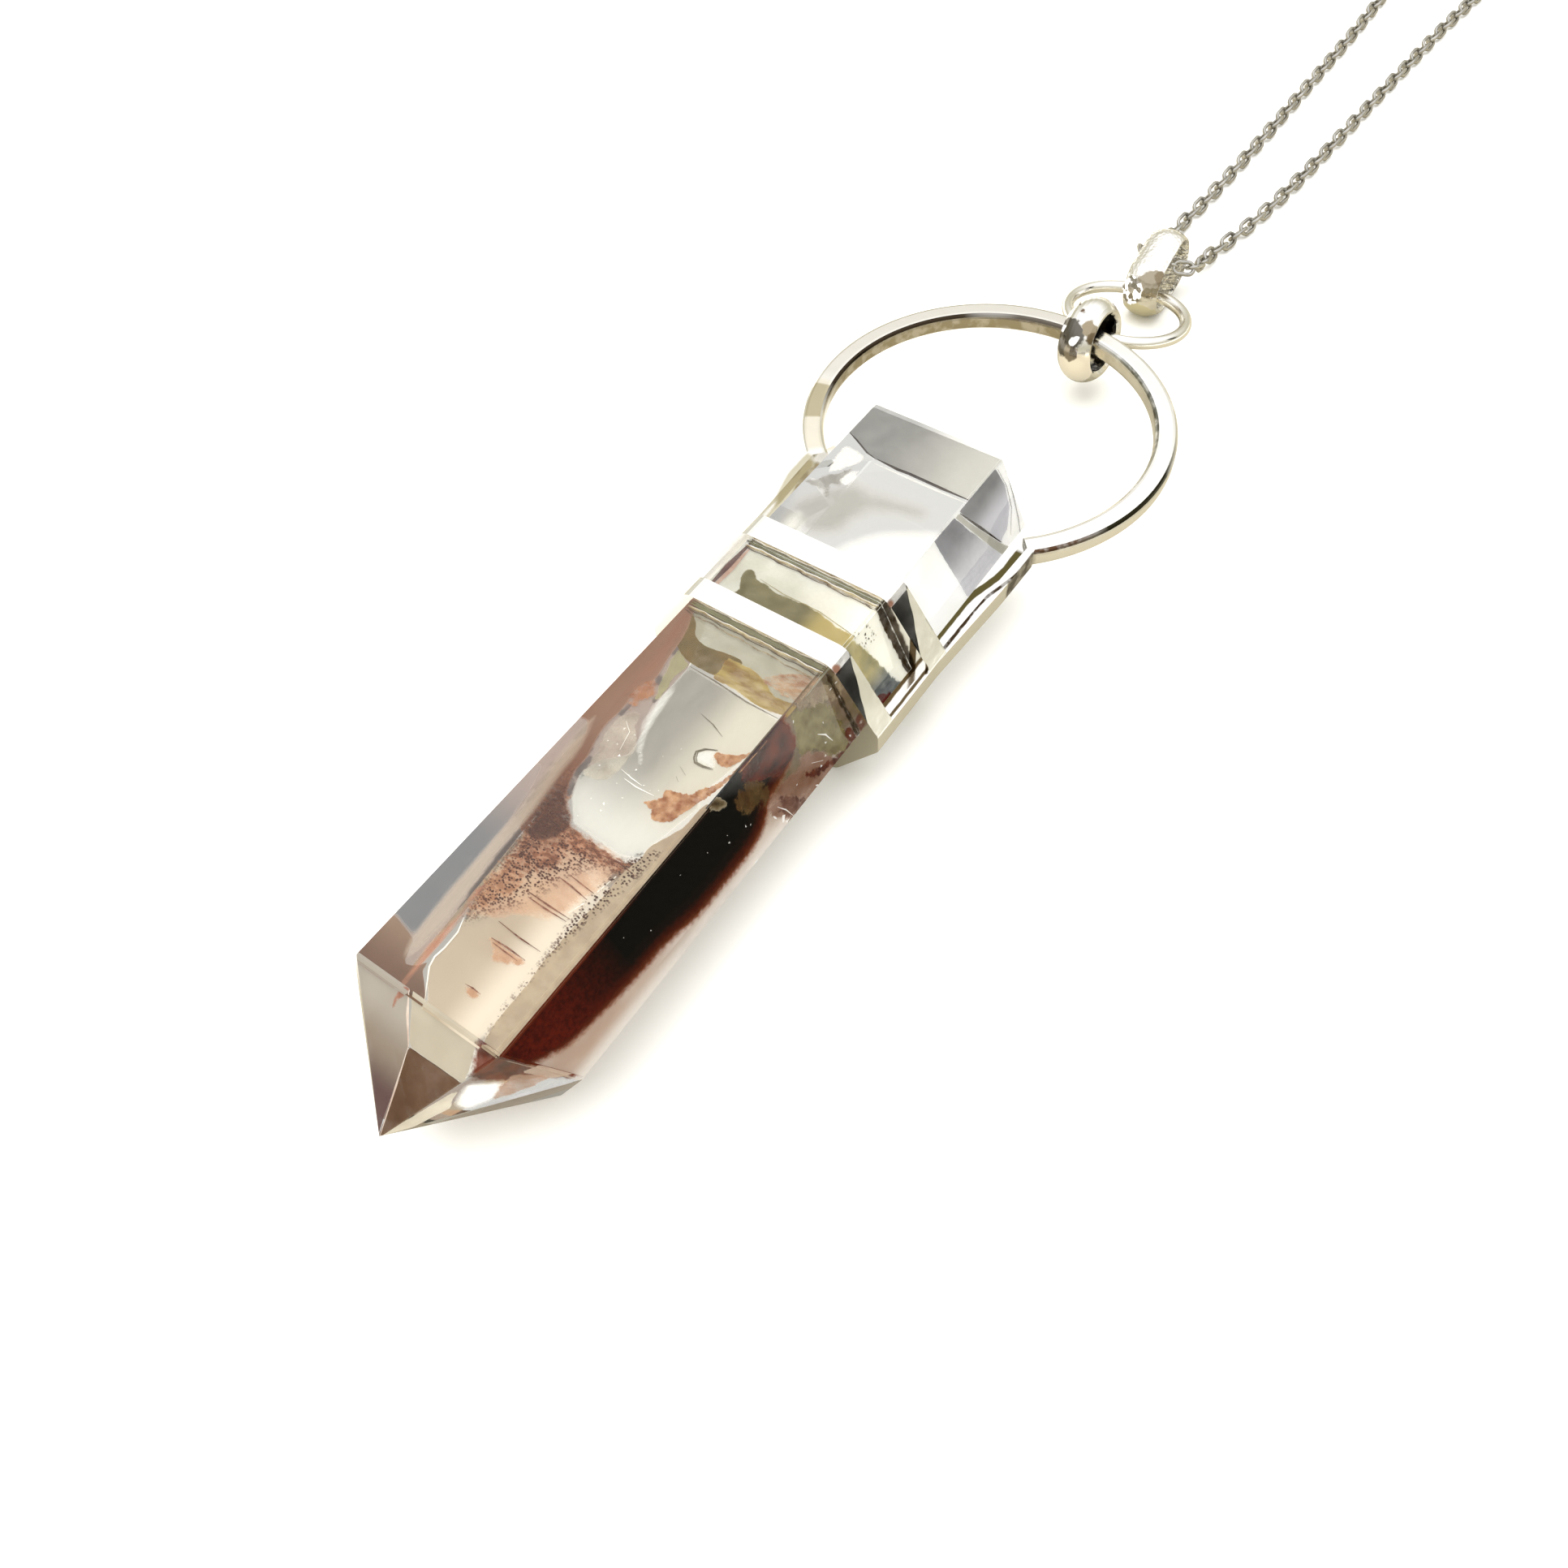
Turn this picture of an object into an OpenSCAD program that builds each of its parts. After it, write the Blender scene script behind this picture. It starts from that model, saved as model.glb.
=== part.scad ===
// Crystal pendant lying on a table: a polished quartz point held by a silver frame of two
// hexagonal bands, two rails and a large ring, with two links, a small ring and a cable chain.
// X runs across the crystal, Y from its point towards the ring and chain, Z up.
// The origin is the middle of the front band's flat underside, on the table.

/* [Crystal] */
// Width across the two side edges
crystal_width = 18; // [17:0.5:20]
// Depth between the top and bottom faces
crystal_depth = 11.7; // [10.5:0.1:13]
// Width of the top face, and of the bottom face
face_width = 12.3; // [11:0.1:13]
// Length of the body, from the top face's shoulder to the flat end
body_length = 61.2; // [56:0.2:64]
// Length of the point beyond the shoulder
point_length = 7.3; // [5:0.1:10]
// How far the right side's shoulder lies behind the top face's
shoulder_skew = 2.8; // [0:0.1:4]
// Polished bevel round the flat end
end_bevel = 0.5; // [0.2:0.1:0.8]

/* [Bands] */
// Thickness of the two bands over the crystal's faces
band_wall = 0.6; // [0.5:0.05:1]
// Width of the front band, along the crystal
front_band_width = 2.05; // [1.6:0.05:3]
// Width of the rear band, along the crystal
rear_band_width = 2.35; // [1.6:0.05:3]
// Distance between the middles of the two bands
band_spacing = 7.6; // [6:0.1:9]
// Distance from the top face's shoulder to the middle of the front band
band_setback = 36.2; // [33:0.1:38]

/* [Ring and rails] */
// Outer diameter of the large ring
ring_outer_d = 33.2; // [31:0.2:36]
// Width of the ring's wire, seen from above
ring_wire_width = 2; // [1.6:0.1:2.4]
// Height of the ring's wire
ring_wire_height = 1.75; // [1.4:0.05:2]
// Distance from the flat end to the ring's centre
ring_reach = 8.7; // [8:0.1:10]
// Rail thickness beside the bands, outwards from the crystal's side edge
rail_wall = 1.65; // [1.3:0.05:1.9]
// Rail thickness where it leaves the ring
rail_root = 2.25; // [2:0.05:2.4]

/* [Links] */
// Diameter of the round link's hole
ring_link_hole_d = 5.2; // [5.1:0.1:5.6]
// Diameter over the round link's dome
ring_link_outer_d = 7.8; // [7.4:0.1:8.2]
// Width of the round link
ring_link_width = 3.3; // [2.8:0.1:3.4]
// Outer diameter of the small ring
jump_ring_outer_d = 12.7; // [12.4:0.1:13]
// Wire diameter of the small ring
jump_ring_wire_d = 1.15; // [1:0.05:1.2]
// Width of the oval link's hole, across its short side
chain_bail_hole_w = 3.9; // [3.7:0.1:4.2]
// Length of the straight stretch of the oval link
chain_bail_straight = 3.7; // [3.5:0.1:4.2]
// Thickness of the oval link's domed wall at its middle
chain_bail_wall = 1; // [0.9:0.05:1.2]
// Width of the oval link
chain_bail_width = 3.5; // [3:0.1:3.6]

/* [Chain] */
// Width over the chain's links
chain_d = 1.6; // [1.4:0.05:1.7]
// Diameter of the clasp's barrel
clasp_d = 3; // [2.8:0.1:3.4]
// Length of the clasp's barrel
clasp_length = 8; // [6:0.5:10]

/* [Hidden] */
$fn = 96;
// Space between the crystal and the metal that holds it
seat_gap = 0.05;
// Height at which the chain, the clasp and the oval link lie over the table
lay_gap = 0.02;
// Overlap of metal pieces that are soldered into one
solder_lap = 0.2;
quartz_colour = [0.86, 0.85, 0.80, 0.6];
silver_colour = [0.86, 0.85, 0.82];

// The crystal: half sizes, and the point's place, which lies a little right of and below the middle
side_x = crystal_width / 2;
face_x = face_width / 2;
half_depth = crystal_depth / 2;
axis_z = half_depth + seat_gap + band_wall;
shoulder_y = -band_setback;
end_y = shoulder_y + body_length;
tip_x = 0.3;
tip_drop = 0.6;
tip = [tip_x, shoulder_y - point_length, axis_z - tip_drop];
// How far each shoulder corner lies behind the top face's, from the right side edge round over the top
skews = [1, 0, 0, 0, 0.1, 0.75];

// The bands: how far their bends lie outside the crystal's, and the radii of bends and outer edges
band_bend_shift = 0.5;
band_bend_r = 1.4;
band_edge_r = 0.3;

// The rails: the ring's middle lies a little under the crystal's, and an inner lip runs lower than the rail
ring_drop = 0.18;
ring_z = axis_z - ring_drop;
rail_half = ring_wire_height / 2;
rail_front_y = -front_band_width / 2;
rail_seat = side_x + seat_gap;
rail_x = rail_seat + rail_wall;
root_x = rail_seat + rail_root;
root_flare = 0.1;
root_blend = 5;
root_overrun = 1;
lip_front = 1.05;
lip_root = 1.6;
lip_drop = 0.6;
lip_end_y = end_y - 0.8;

// The large ring
ring_y = end_y + ring_reach;
ring_r = ring_outer_d / 2;
ring_bore_r = ring_r - ring_wire_width;
ring_edge = 0.5;
ring_lap = 0.3;
root_y = ring_y - sqrt(ring_r * ring_r - root_x * root_x);

// The domed links: the flat rim's share of the wall, and the rounding of the hole's edges
rim_share = 0.4;
rim_soft = 0.25;

// The round link on the large ring
link_hole_r = ring_link_hole_d / 2;
link_x = 1.8;
link_yaw = -2;
link_roll = -8;
link_inset = 0.2;
link_lift = 0.8;
link_pos = [link_x, ring_y + ring_r - link_inset, ring_z + rail_half + link_lift - link_hole_r];

// The oval link at the chain, lying with its near end on the table and its far end raised
bail_hole_r = chain_bail_hole_w / 2;
bail_x = 1.6;
bail_pitch = 10;
bail_roll = -6;
bail_yaw = 3;
bail_r = bail_hole_r + chain_bail_wall;
bail_half = chain_bail_straight / 2;
bail_near_z = bail_r + lay_gap;
bail_far_z = bail_near_z + chain_bail_straight * sin(bail_pitch);

// The small ring between the two links: clearances to the holes that it passes through
jump_wire_r = jump_ring_wire_d / 2;
jump_r = jump_ring_outer_d / 2 - jump_wire_r;
jump_x = 2.35;
jump_near_gap = 0.55;
jump_near_drop = 0.3;
jump_far_drop = 0.1;
jump_far_gap = 0.9;
jump_near = [jump_x, link_pos[1] + link_hole_r - jump_wire_r - jump_near_gap, link_pos[2] - jump_near_drop];
jump_far_z = bail_near_z - jump_far_drop;
jump_pitch = asin((jump_far_z - jump_near[2]) / (2 * jump_r));
jump_pos = jump_near + jump_r * [0, cos(jump_pitch), sin(jump_pitch)];
jump_far_y = jump_pos[1] + jump_r * cos(jump_pitch);
bail_pos = [bail_x, jump_far_y + jump_far_gap + bail_half * cos(bail_pitch), (bail_near_z + bail_far_z) / 2];

// The clasp at the far end of the loop, and its profile from the eye's neck to the full barrel
clasp_x = 5.5;
clasp_reach = 190;
clasp_z = clasp_d / 2 + lay_gap;
clasp_half = clasp_length / 2;
clasp_neck_r = 0.5;
clasp_neck_l = 0.4;
clasp_cap_r = clasp_d * 0.36;
clasp_cap_l = 0.7;
clasp_taper_l = 1.7;
eye_wire_d = 0.6;
eye_outer_d = 2.2;
eye_gap = 0.2;
chain_end_x = clasp_half + eye_outer_d + eye_gap;

// The chain's route: x, distance along Y from the oval link's middle, and height over the table.
// It leaves the clasp, comes down the left strand, turns through the link and goes back up the right one.
flat = chain_d / 2 + lay_gap;
chain_route = [
    [clasp_x - chain_end_x, clasp_reach, clasp_z], [-14, 188.5, flat], [-28, 181, flat], [-38, 168, flat],
    [-40.5, 152, flat], [-34, 135, flat], [-22, 119, flat], [-11, 106, flat],
    [-4, 93, flat], [-1, 79, flat], [-0.2, 63, flat], [-0.2, 46, flat],
    [-0.3, 31, flat], [-0.6, 19, flat], [-1, 12.5, flat], [-0.9, 9.3, 1.2],
    [-0.9, 6.4, 2.1], [-1.3, 4, 2.8], [-1, 2.4, 3.1], [0.4, 2.1, 3.2],
    [2.4, 2.1, 3.2], [3.7, 2.4, 3.1], [4.3, 4.3, 2.5], [4, 6.5, 1.6],
    [4, 8.8, 1], [4.4, 11.5, flat], [5.4, 17, flat], [6.3, 25, flat],
    [7.1, 37, flat], [8, 53, flat], [9.2, 70, flat], [11.5, 86, flat],
    [18, 102, flat], [29, 116, flat], [40, 129, flat], [47.5, 143, flat],
    [48, 158, flat], [42, 172, flat], [29, 184.5, flat], [clasp_x + chain_end_x, clasp_reach, clasp_z]
];
steps_per_point = 2;
tube_sides = 8;

// Points of an arc from angle a to angle b
function arc(centre, r, a, b, steps) =
    [for (i = [0:steps]) centre + r * [cos(a + (b - a) * i / steps), sin(a + (b - a) * i / steps)]];

// A closed outline with its corners rounded: each corner is [x, y, radius]
function rounded(corners, steps) = [
    for (i = [0:len(corners) - 1])
        let (
            n = len(corners),
            p = [corners[i][0], corners[i][1]],
            before = corners[(i + n - 1) % n],
            after = corners[(i + 1) % n],
            u = unit([before[0], before[1]] - p),
            w = unit([after[0], after[1]] - p),
            half = acos(u * w) / 2,
            r = corners[i][2],
            centre = p + unit(u + w) * r / sin(half),
            a = atan2((p - centre)[1], (p - centre)[0]),
            spread = 90 - half,
            side = (u[0] * w[1] - u[1] * w[0]) > 0 ? -1 : 1
        )
        each arc(centre, r, a - side * spread, a + side * spread, steps)
];

function unit(v) = v / norm(v);

// A point of the smooth curve through the route, never lower than the chain lies, where t counts the points
function curve_at(t) =
    let (
        i = min(floor(t), len(chain_route) - 2),
        f = t - i,
        a = route_point(i - 1),
        b = route_point(i),
        c = route_point(i + 1),
        d = route_point(i + 2)
    )
    on_table(0.5 * (2 * b + (c - a) * f + (2 * a - 5 * b + 4 * c - d) * f * f + (3 * b - a - 3 * c + d) * f * f * f));
function route_point(i) = chain_route[max(0, min(len(chain_route) - 1, i))] + [0, bail_pos[1], 0];
function on_table(p) = [p[0], p[1], max(p[2], flat)];

// The crystal's six corners in cross-section, from the right side edge round over the top,
// with all six faces moved outwards by grow
function hexagon(grow) =
    let (
        slope = atan((side_x - face_x) / half_depth),
        side = side_x + grow / cos(slope),
        face = face_x + grow * tan(45 - slope / 2),
        top = half_depth + grow
    )
    [[side, 0], [face, top], [-face, top], [-side, 0], [-face, -top], [face, -top]];

module crystal_point() {
    section = hexagon(0);
    bevelled = hexagon(-end_bevel);
    shoulders = [for (i = [0:5]) [section[i][0], shoulder_y + shoulder_skew * skews[i], axis_z + section[i][1]]];
    rims = [for (p = section) [p[0], end_y - end_bevel, axis_z + p[1]]];
    ends = [for (p = bevelled) [p[0], end_y, axis_z + p[1]]];
    next = [1, 2, 3, 4, 5, 0];
    color(quartz_colour)
        polyhedron(
            points = concat([tip], shoulders, rims, ends),
            faces = concat(
                [for (i = [0:5]) [0, 1 + next[i], 1 + i]],
                [for (i = [0:5]) [1 + i, 1 + next[i], 7 + next[i], 7 + i]],
                [for (i = [0:5]) [7 + i, 7 + next[i], 13 + next[i], 13 + i]],
                [[for (i = [0:5]) 13 + i]]
            )
        );
}

// One hexagonal band, bent round the crystal and over both rails
module band(y, width) {
    bend_x = face_x + band_bend_shift;
    top = rail_half - ring_drop;
    bottom = -rail_half - ring_drop;
    outline = rounded([
        [rail_x, top, band_edge_r], [bend_x, axis_z, band_bend_r], [-bend_x, axis_z, band_bend_r],
        [-rail_x, top, band_edge_r], [-rail_x, bottom, band_edge_r], [-bend_x, -axis_z, band_bend_r],
        [bend_x, -axis_z, band_bend_r], [rail_x, bottom, band_edge_r]
    ], 5);
    translate([0, y + width / 2, axis_z])
        rotate([90, 0, 0])
            linear_extrude(width)
                difference() {
                    polygon(outline);
                    polygon(hexagon(seat_gap));
                }
}

// One rail along the crystal's side edge, from the front band to the ring
module rail() {
    lip_lap = lip_front + solder_lap;
    rail_plan = [
        [rail_seat + lip_front, rail_front_y], [rail_x, rail_front_y], [rail_x, band_spacing],
        [root_x - root_flare, root_y - root_blend], [root_x, root_y], [root_x - solder_lap, root_y + root_overrun],
        [rail_seat + lip_root, root_y + root_overrun], [rail_seat + lip_front, band_spacing]
    ];
    lip_plan = [
        [rail_seat, rail_front_y], [rail_seat + lip_lap, rail_front_y], [rail_seat + lip_lap, band_spacing],
        [rail_seat + lip_root + solder_lap, root_y + root_overrun], [rail_seat + lip_front, lip_end_y],
        [rail_seat, lip_end_y]
    ];
    translate([0, 0, ring_z - rail_half]) {
        linear_extrude(ring_wire_height)
            polygon(rail_plan);
        linear_extrude(ring_wire_height - lip_drop)
            polygon(lip_plan);
    }
}

// The large ring, open where the crystal's flat end sits
module large_ring() {
    section = rounded([
        [ring_bore_r, -rail_half, ring_edge], [ring_r, -rail_half, ring_edge],
        [ring_r, rail_half, ring_edge], [ring_bore_r, rail_half, ring_edge]
    ], 4);
    opening = asin((root_x - ring_lap) / ring_r);
    translate([0, ring_y, ring_z])
        rotate([0, 0, -90 + opening])
            rotate_extrude(angle = 360 - 2 * opening)
                polygon(section);
}

module silver_frame() {
    color(silver_colour)
        difference() {
            union() {
                band(0, front_band_width);
                band(band_spacing, rear_band_width);
                large_ring();
                rail();
                mirror([1, 0, 0])
                    rail();
            }
            translate([0, end_y + seat_gap, axis_z])
                rotate([90, 0, 0])
                    linear_extrude(body_length)
                        polygon(hexagon(seat_gap));
        }
}

// Half cross-section of a domed link: hole radius, radius over the dome, width
function dome_section(hole_r, dome_r, width) =
    let (
        rim_r = hole_r + (dome_r - hole_r) * rim_share,
        rise = dome_r - rim_r,
        half = width / 2,
        big = (half * half + rise * rise) / (2 * rise),
        sweep = asin(half / big)
    )
    concat(
        [
            [rim_r, -half], [hole_r + rim_soft, -half], [hole_r, -half + rim_soft],
            [hole_r, half - rim_soft], [hole_r + rim_soft, half]
        ],
        arc([dome_r - big, 0], big, sweep, -sweep, 10)
    );

module ring_link() {
    color(silver_colour)
        translate(link_pos)
            rotate([0, link_roll, link_yaw])
                rotate([0, 90, 0])
                    rotate_extrude()
                        polygon(dome_section(link_hole_r, ring_link_outer_d / 2, ring_link_width));
}

module jump_ring() {
    color(silver_colour)
        translate(jump_pos)
            rotate([jump_pitch, 0, 0])
                rotate_extrude()
                    translate([jump_r, 0])
                        circle(jump_wire_r, $fn = 24);
}

module chain_bail() {
    section = dome_section(bail_hole_r, bail_r, chain_bail_width);
    color(silver_colour)
        translate(bail_pos)
            rotate([0, 0, bail_yaw])
                rotate([bail_pitch, bail_roll, 0])
                    rotate([0, 90, 0])
                        for (side = [0, 180])
                            rotate([0, 0, side]) {
                                translate([0, bail_half, 0])
                                    rotate_extrude(angle = 180)
                                        polygon(section);
                                translate([0, bail_half, 0])
                                    rotate([90, 0, 0])
                                        linear_extrude(chain_bail_straight)
                                            polygon(section);
                            }
}

module chain() {
    last = (len(chain_route) - 1) * steps_per_point;
    turn = 360 / tube_sides;
    corner_r = chain_d / 2 / cos(turn / 2);
    look = 0.1;
    ring_points = [
        for (i = [0:last])
            let (
                t = i / steps_per_point,
                p = curve_at(t),
                along = unit(curve_at(min(t + look, len(chain_route) - 1)) - curve_at(max(t - look, 0))),
                across = unit(cross(along, [0, 0, 1])),
                up = cross(across, along)
            )
            for (k = [0:tube_sides - 1])
                p + corner_r * (cos((k + 0.5) * turn) * across + sin((k + 0.5) * turn) * up)
    ];
    sides = [
        for (i = [0:last - 1], k = [0:tube_sides - 1])
            let (a = i * tube_sides, b = a + tube_sides, m = (k + 1) % tube_sides)
            [a + k, a + m, b + m, b + k]
    ];
    color(silver_colour)
        polyhedron(
            points = ring_points,
            faces = concat(
                sides,
                [[for (k = [tube_sides - 1:-1:0]) k]],
                [[for (k = [0:tube_sides - 1]) last * tube_sides + k]]
            )
        );
}

// The clasp: a plain barrel with an eye at each end
module clasp() {
    eye_r = (eye_outer_d - eye_wire_d) / 2;
    end = clasp_half + solder_lap;
    neck = clasp_half - clasp_neck_l;
    cap = clasp_half - clasp_cap_l;
    barrel = clasp_half - clasp_taper_l;
    outline = [
        [0, -end], [clasp_neck_r, -end], [clasp_neck_r, -neck], [clasp_cap_r, -cap], [clasp_d / 2, -barrel],
        [clasp_d / 2, barrel], [clasp_cap_r, cap], [clasp_neck_r, neck], [clasp_neck_r, end], [0, end]
    ];
    color(silver_colour)
        translate([clasp_x, bail_pos[1] + clasp_reach, clasp_z]) {
            rotate([0, 90, 0])
                rotate_extrude()
                    polygon(outline);
            for (side = [-1, 1])
                translate([side * (clasp_half + eye_outer_d / 2), 0, 0])
                    rotate_extrude()
                        translate([eye_r, 0])
                            circle(eye_wire_d / 2, $fn = 16);
        }
}

crystal_point();
silver_frame();
ring_link();
jump_ring();
chain_bail();
chain();
clasp();
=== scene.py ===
# Crystal pendant on a cable chain, lying on a pale table and seen from above its point.
# Places and sizes are written in millimetres, and MM turns them into metres.
import math

import bmesh
import bpy
from mathutils import Matrix, Vector


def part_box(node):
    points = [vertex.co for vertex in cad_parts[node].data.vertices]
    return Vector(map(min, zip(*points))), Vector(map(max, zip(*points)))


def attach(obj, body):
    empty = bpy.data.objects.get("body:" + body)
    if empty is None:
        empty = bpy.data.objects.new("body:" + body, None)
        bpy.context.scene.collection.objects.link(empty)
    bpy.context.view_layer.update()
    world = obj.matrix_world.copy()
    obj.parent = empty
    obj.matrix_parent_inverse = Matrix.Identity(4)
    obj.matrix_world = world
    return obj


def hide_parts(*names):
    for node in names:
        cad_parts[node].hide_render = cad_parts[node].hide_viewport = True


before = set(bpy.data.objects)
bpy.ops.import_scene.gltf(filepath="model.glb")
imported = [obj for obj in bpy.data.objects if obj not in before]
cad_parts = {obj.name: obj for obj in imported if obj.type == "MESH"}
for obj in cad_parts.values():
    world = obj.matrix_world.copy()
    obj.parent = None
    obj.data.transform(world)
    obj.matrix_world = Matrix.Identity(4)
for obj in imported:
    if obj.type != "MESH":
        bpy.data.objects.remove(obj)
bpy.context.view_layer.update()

MM = 0.001


# Camera: the photograph's view, which stands right of the point and looks up along the crystal

PHOTO_SIDE = 1932
FOCAL_PIXELS = 1555
SENSOR = 36
CAMERA_PLACE = Vector((39.75, -47.2, 83.7))
CAMERA_AZIMUTH = 39.84
CAMERA_ELEVATION = 56.36
CAMERA_ROLL = -5.84


def make_camera():
    azimuth, elevation, roll = (math.radians(a) for a in (CAMERA_AZIMUTH, CAMERA_ELEVATION, CAMERA_ROLL))
    flat = Vector((-math.sin(azimuth), math.cos(azimuth), 0))
    forward = flat * math.cos(elevation) - Vector((0, 0, math.sin(elevation)))
    level = forward.cross(Vector((0, 0, 1))).normalized()
    above = level.cross(forward)
    right = level * math.cos(roll) + above * math.sin(roll)
    up = right.cross(forward)
    turn = Matrix((right, up, -forward)).transposed().to_4x4()
    data = bpy.data.cameras.new("camera")
    data.sensor_width = SENSOR
    data.lens = SENSOR * FOCAL_PIXELS / PHOTO_SIDE
    data.clip_start = 5 * MM
    data.clip_end = 10000 * MM
    camera = bpy.data.objects.new("camera", data)
    camera.matrix_world = Matrix.Translation(CAMERA_PLACE * MM) @ turn
    bpy.context.scene.collection.objects.link(camera)
    bpy.context.scene.camera = camera


# Materials

def linear(hex_colour):
    """Turns an sRGB hex colour into linear red, green, blue and alpha."""
    parts = [int(hex_colour[i:i + 2], 16) / 255 for i in (1, 3, 5)]
    return [*(p / 12.92 if p <= 0.04045 else ((p + 0.055) / 1.055) ** 2.4 for p in parts), 1.0]


def add(tree, kind, inputs=None, stops=(), **settings):
    """Adds a node with its settings and links, and returns its outputs.

    A kind that doesn't say Node is a shader node. An input, by name or number, is a value, a hex colour or
    another node's output. Stops are the places and colours on a colour ramp.
    """
    node = tree.nodes.new(kind if "Node" in kind else "ShaderNode" + kind)
    for name, value in settings.items():
        setattr(node, name, value)
    for name, value in (inputs or {}).items():
        if isinstance(value, bpy.types.NodeSocket):
            tree.links.new(value, node.inputs[name])
        else:
            node.inputs[name].default_value = linear(value) if isinstance(value, str) else value
    if stops:
        elements = node.color_ramp.elements
        while len(elements) < len(stops):
            elements.new(0.5)
        for element, (position, colour) in zip(elements, stops):
            element.position = position
            element.color = linear(colour)
    return node.outputs


def new_material(name):
    """A new material, its empty tree, and where a point of the surface lies in the pendant's frame, in
    mm."""
    material = bpy.data.materials.new(name)
    material.use_nodes = True
    tree = material.node_tree
    tree.nodes.clear()
    place = add(tree, "TexCoord")["Object"]
    return material, tree, add(tree, "VectorMath", {0: place, "Scale": 1 / MM}, operation="SCALE")["Vector"]


def between(tree, value, low, high, soft):
    """A mask that is one where the value lies between low and high, easing off over soft at either end."""
    rise = add(tree, "MapRange", {"Value": value, "From Min": low - soft, "From Max": low + soft})["Result"]
    fall = add(tree, "MapRange", {
        "Value": value, "From Min": high - soft, "From Max": high + soft, "To Min": 1, "To Max": 0,
    })["Result"]
    return overlap(tree, rise, fall)


def overlap(tree, *masks):
    """The mask of where all the masks meet."""
    where = masks[0]
    for mask in masks[1:]:
        where = add(tree, "Math", {0: where, 1: mask}, operation="MULTIPLY")["Value"]
    return where


def tint(tree, colour, shade, *masks):
    """Lays a shade over a colour where all the masks meet."""
    where = overlap(tree, *masks)
    return add(tree, "Mix", {"Factor": where, "A": colour, "B": shade}, data_type="RGBA")["Result"]


SILVER = "#FAF8F3"
SILVER_WAVE = 2.381
SILVER_SCRATCH = 0.3846
# Between these two a noise texture has nearly all its values
NOISE_LOW = 0.3
NOISE_HIGH = 0.7


def buffed(tree, place):
    """The roughness and normal that filing and buffing by hand leave on silver: soft waves, and fine
    scratches, drawn coarser than real ones so that they show."""
    waves = add(tree, "TexNoise", {
        "Vector": place, "Scale": 1 / SILVER_WAVE, "Detail": 2, "Roughness": 0.5,
    })["Fac"]
    scratches = add(tree, "TexNoise", {
        "Vector": place, "Scale": 1 / SILVER_SCRATCH, "Detail": 3, "Roughness": 0.6,
    })["Fac"]
    wavy = add(tree, "Bump", {"Height": waves, "Strength": 0.12, "Distance": 0.2 * MM})["Normal"]
    fine = add(tree, "Bump", {
        "Height": scratches, "Strength": 0.05, "Distance": 0.05 * MM, "Normal": wavy,
    })["Normal"]
    gloss = add(tree, "MapRange", {
        "Value": waves, "From Min": NOISE_LOW, "From Max": NOISE_HIGH, "To Min": 0.1, "To Max": 0.2,
    })["Result"]
    return gloss, fine


def finish_silver(tree, inputs):
    """Ends a silver material. Seen through the crystal, silver shows a painted pale glow, an emission that
    stands for the light that the crystal gathers."""
    surface = add(tree, "BsdfPrincipled", {"Metallic": 1, **inputs})["BSDF"]
    through = add(tree, "Emission", {"Color": "#E2E2E0", "Strength": 0.95})["Emission"]
    bent = add(tree, "LightPath")["Is Transmission Ray"]
    both = add(tree, "MixShader", {0: bent, 1: surface, 2: through})["Shader"]
    add(tree, "OutputMaterial", {"Surface": both})


def sterling_silver():
    """Polished sterling silver, filed and buffed by hand: a warm mirror with fine waves and soft
    scratches."""
    material, tree, place = new_material("polished_sterling_silver")
    gloss, normal = buffed(tree, place)
    finish_silver(tree, {"Base Color": SILVER, "Roughness": gloss, "Normal": normal})
    return material


RING_CENTRE_Y = 33.7
RING_INNER_RADIUS = 14
RING_MIDDLE_RADIUS = 15.6
RING_OUTER_RADIUS = 17.2
FRAME_PATCH = 1.111
# Painted reflections and shade on the large ring. Each tone: the region of the ring, its tilt, the side and
# stretch of the ring in radians, how softly it ends, whether it is patchy, and its colour
RING_TONES = [
    ("inner", "wall", "left", -0.4, 1.9, 0.3, True, "#B0A68E"),
    ("inner", "edge", "left", -0.35, 1.05, 0.15, False, "#40362A"),
    ("inner", "edge", "left", 1.05, 1.75, 0.2, False, "#6E675E"),
    ("inner", "edge", "right", 0.25, 1.2, 0.2, True, "#77776E"),
    ("outer", "edge", "right", -0.55, 0.25, 0.15, False, "#2C2A1C"),
    ("outer", "edge", "right", -1.1, -0.5, 0.1, True, "#5E4634"),
    ("middle", "top", "left", -0.2, 1.8, 0.1, False, "#E6E2D8"),
    ("soldered", "top", "left", -0.8, -0.2, 0.02, False, "#EDE6D4"),
    ("soldered", "top", "left", -0.53, -0.24, 0.008, False, "#BFB597"),
]
RAIL_FLARE = (14, 19.5)
RAIL_FLARE_STEP = 1
RAIL_SWAY = 0.14
# A painted shadow line, dark olive, low on the right rail's inner wall near the crystal's end
RAIL_STEP_SHADE = "#4A4426"
RAIL_STEP_Z = (6.62, 7.18)
RAIL_STEP_Y = (20.5, 24)
# Painted reflections and shade along the rails. Each tone: the side, from and to across it in mm, how softly
# it ends, its stretch along the rail, whether it is patchy, and its colour
RAIL_TONES = [
    ("right", 8.7, 9.35, 0.04, "rear", False, "#5A5230"),
    ("right", 10.15, 10.45, 0.04, "rear", True, "#3E3020"),
    ("right", 8.7, 9.3, 0.04, "middle", False, "#5E4E34"),
    ("right", 10.15, 10.4, 0.04, "middle", False, "#5E4E34"),
    ("left", 8.4, 10.1, 0.1, "rear", False, "#CFC8B0"),
    ("left", 8.4, 9.15, 0.1, "rear", True, "#978A6C"),
]


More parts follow.
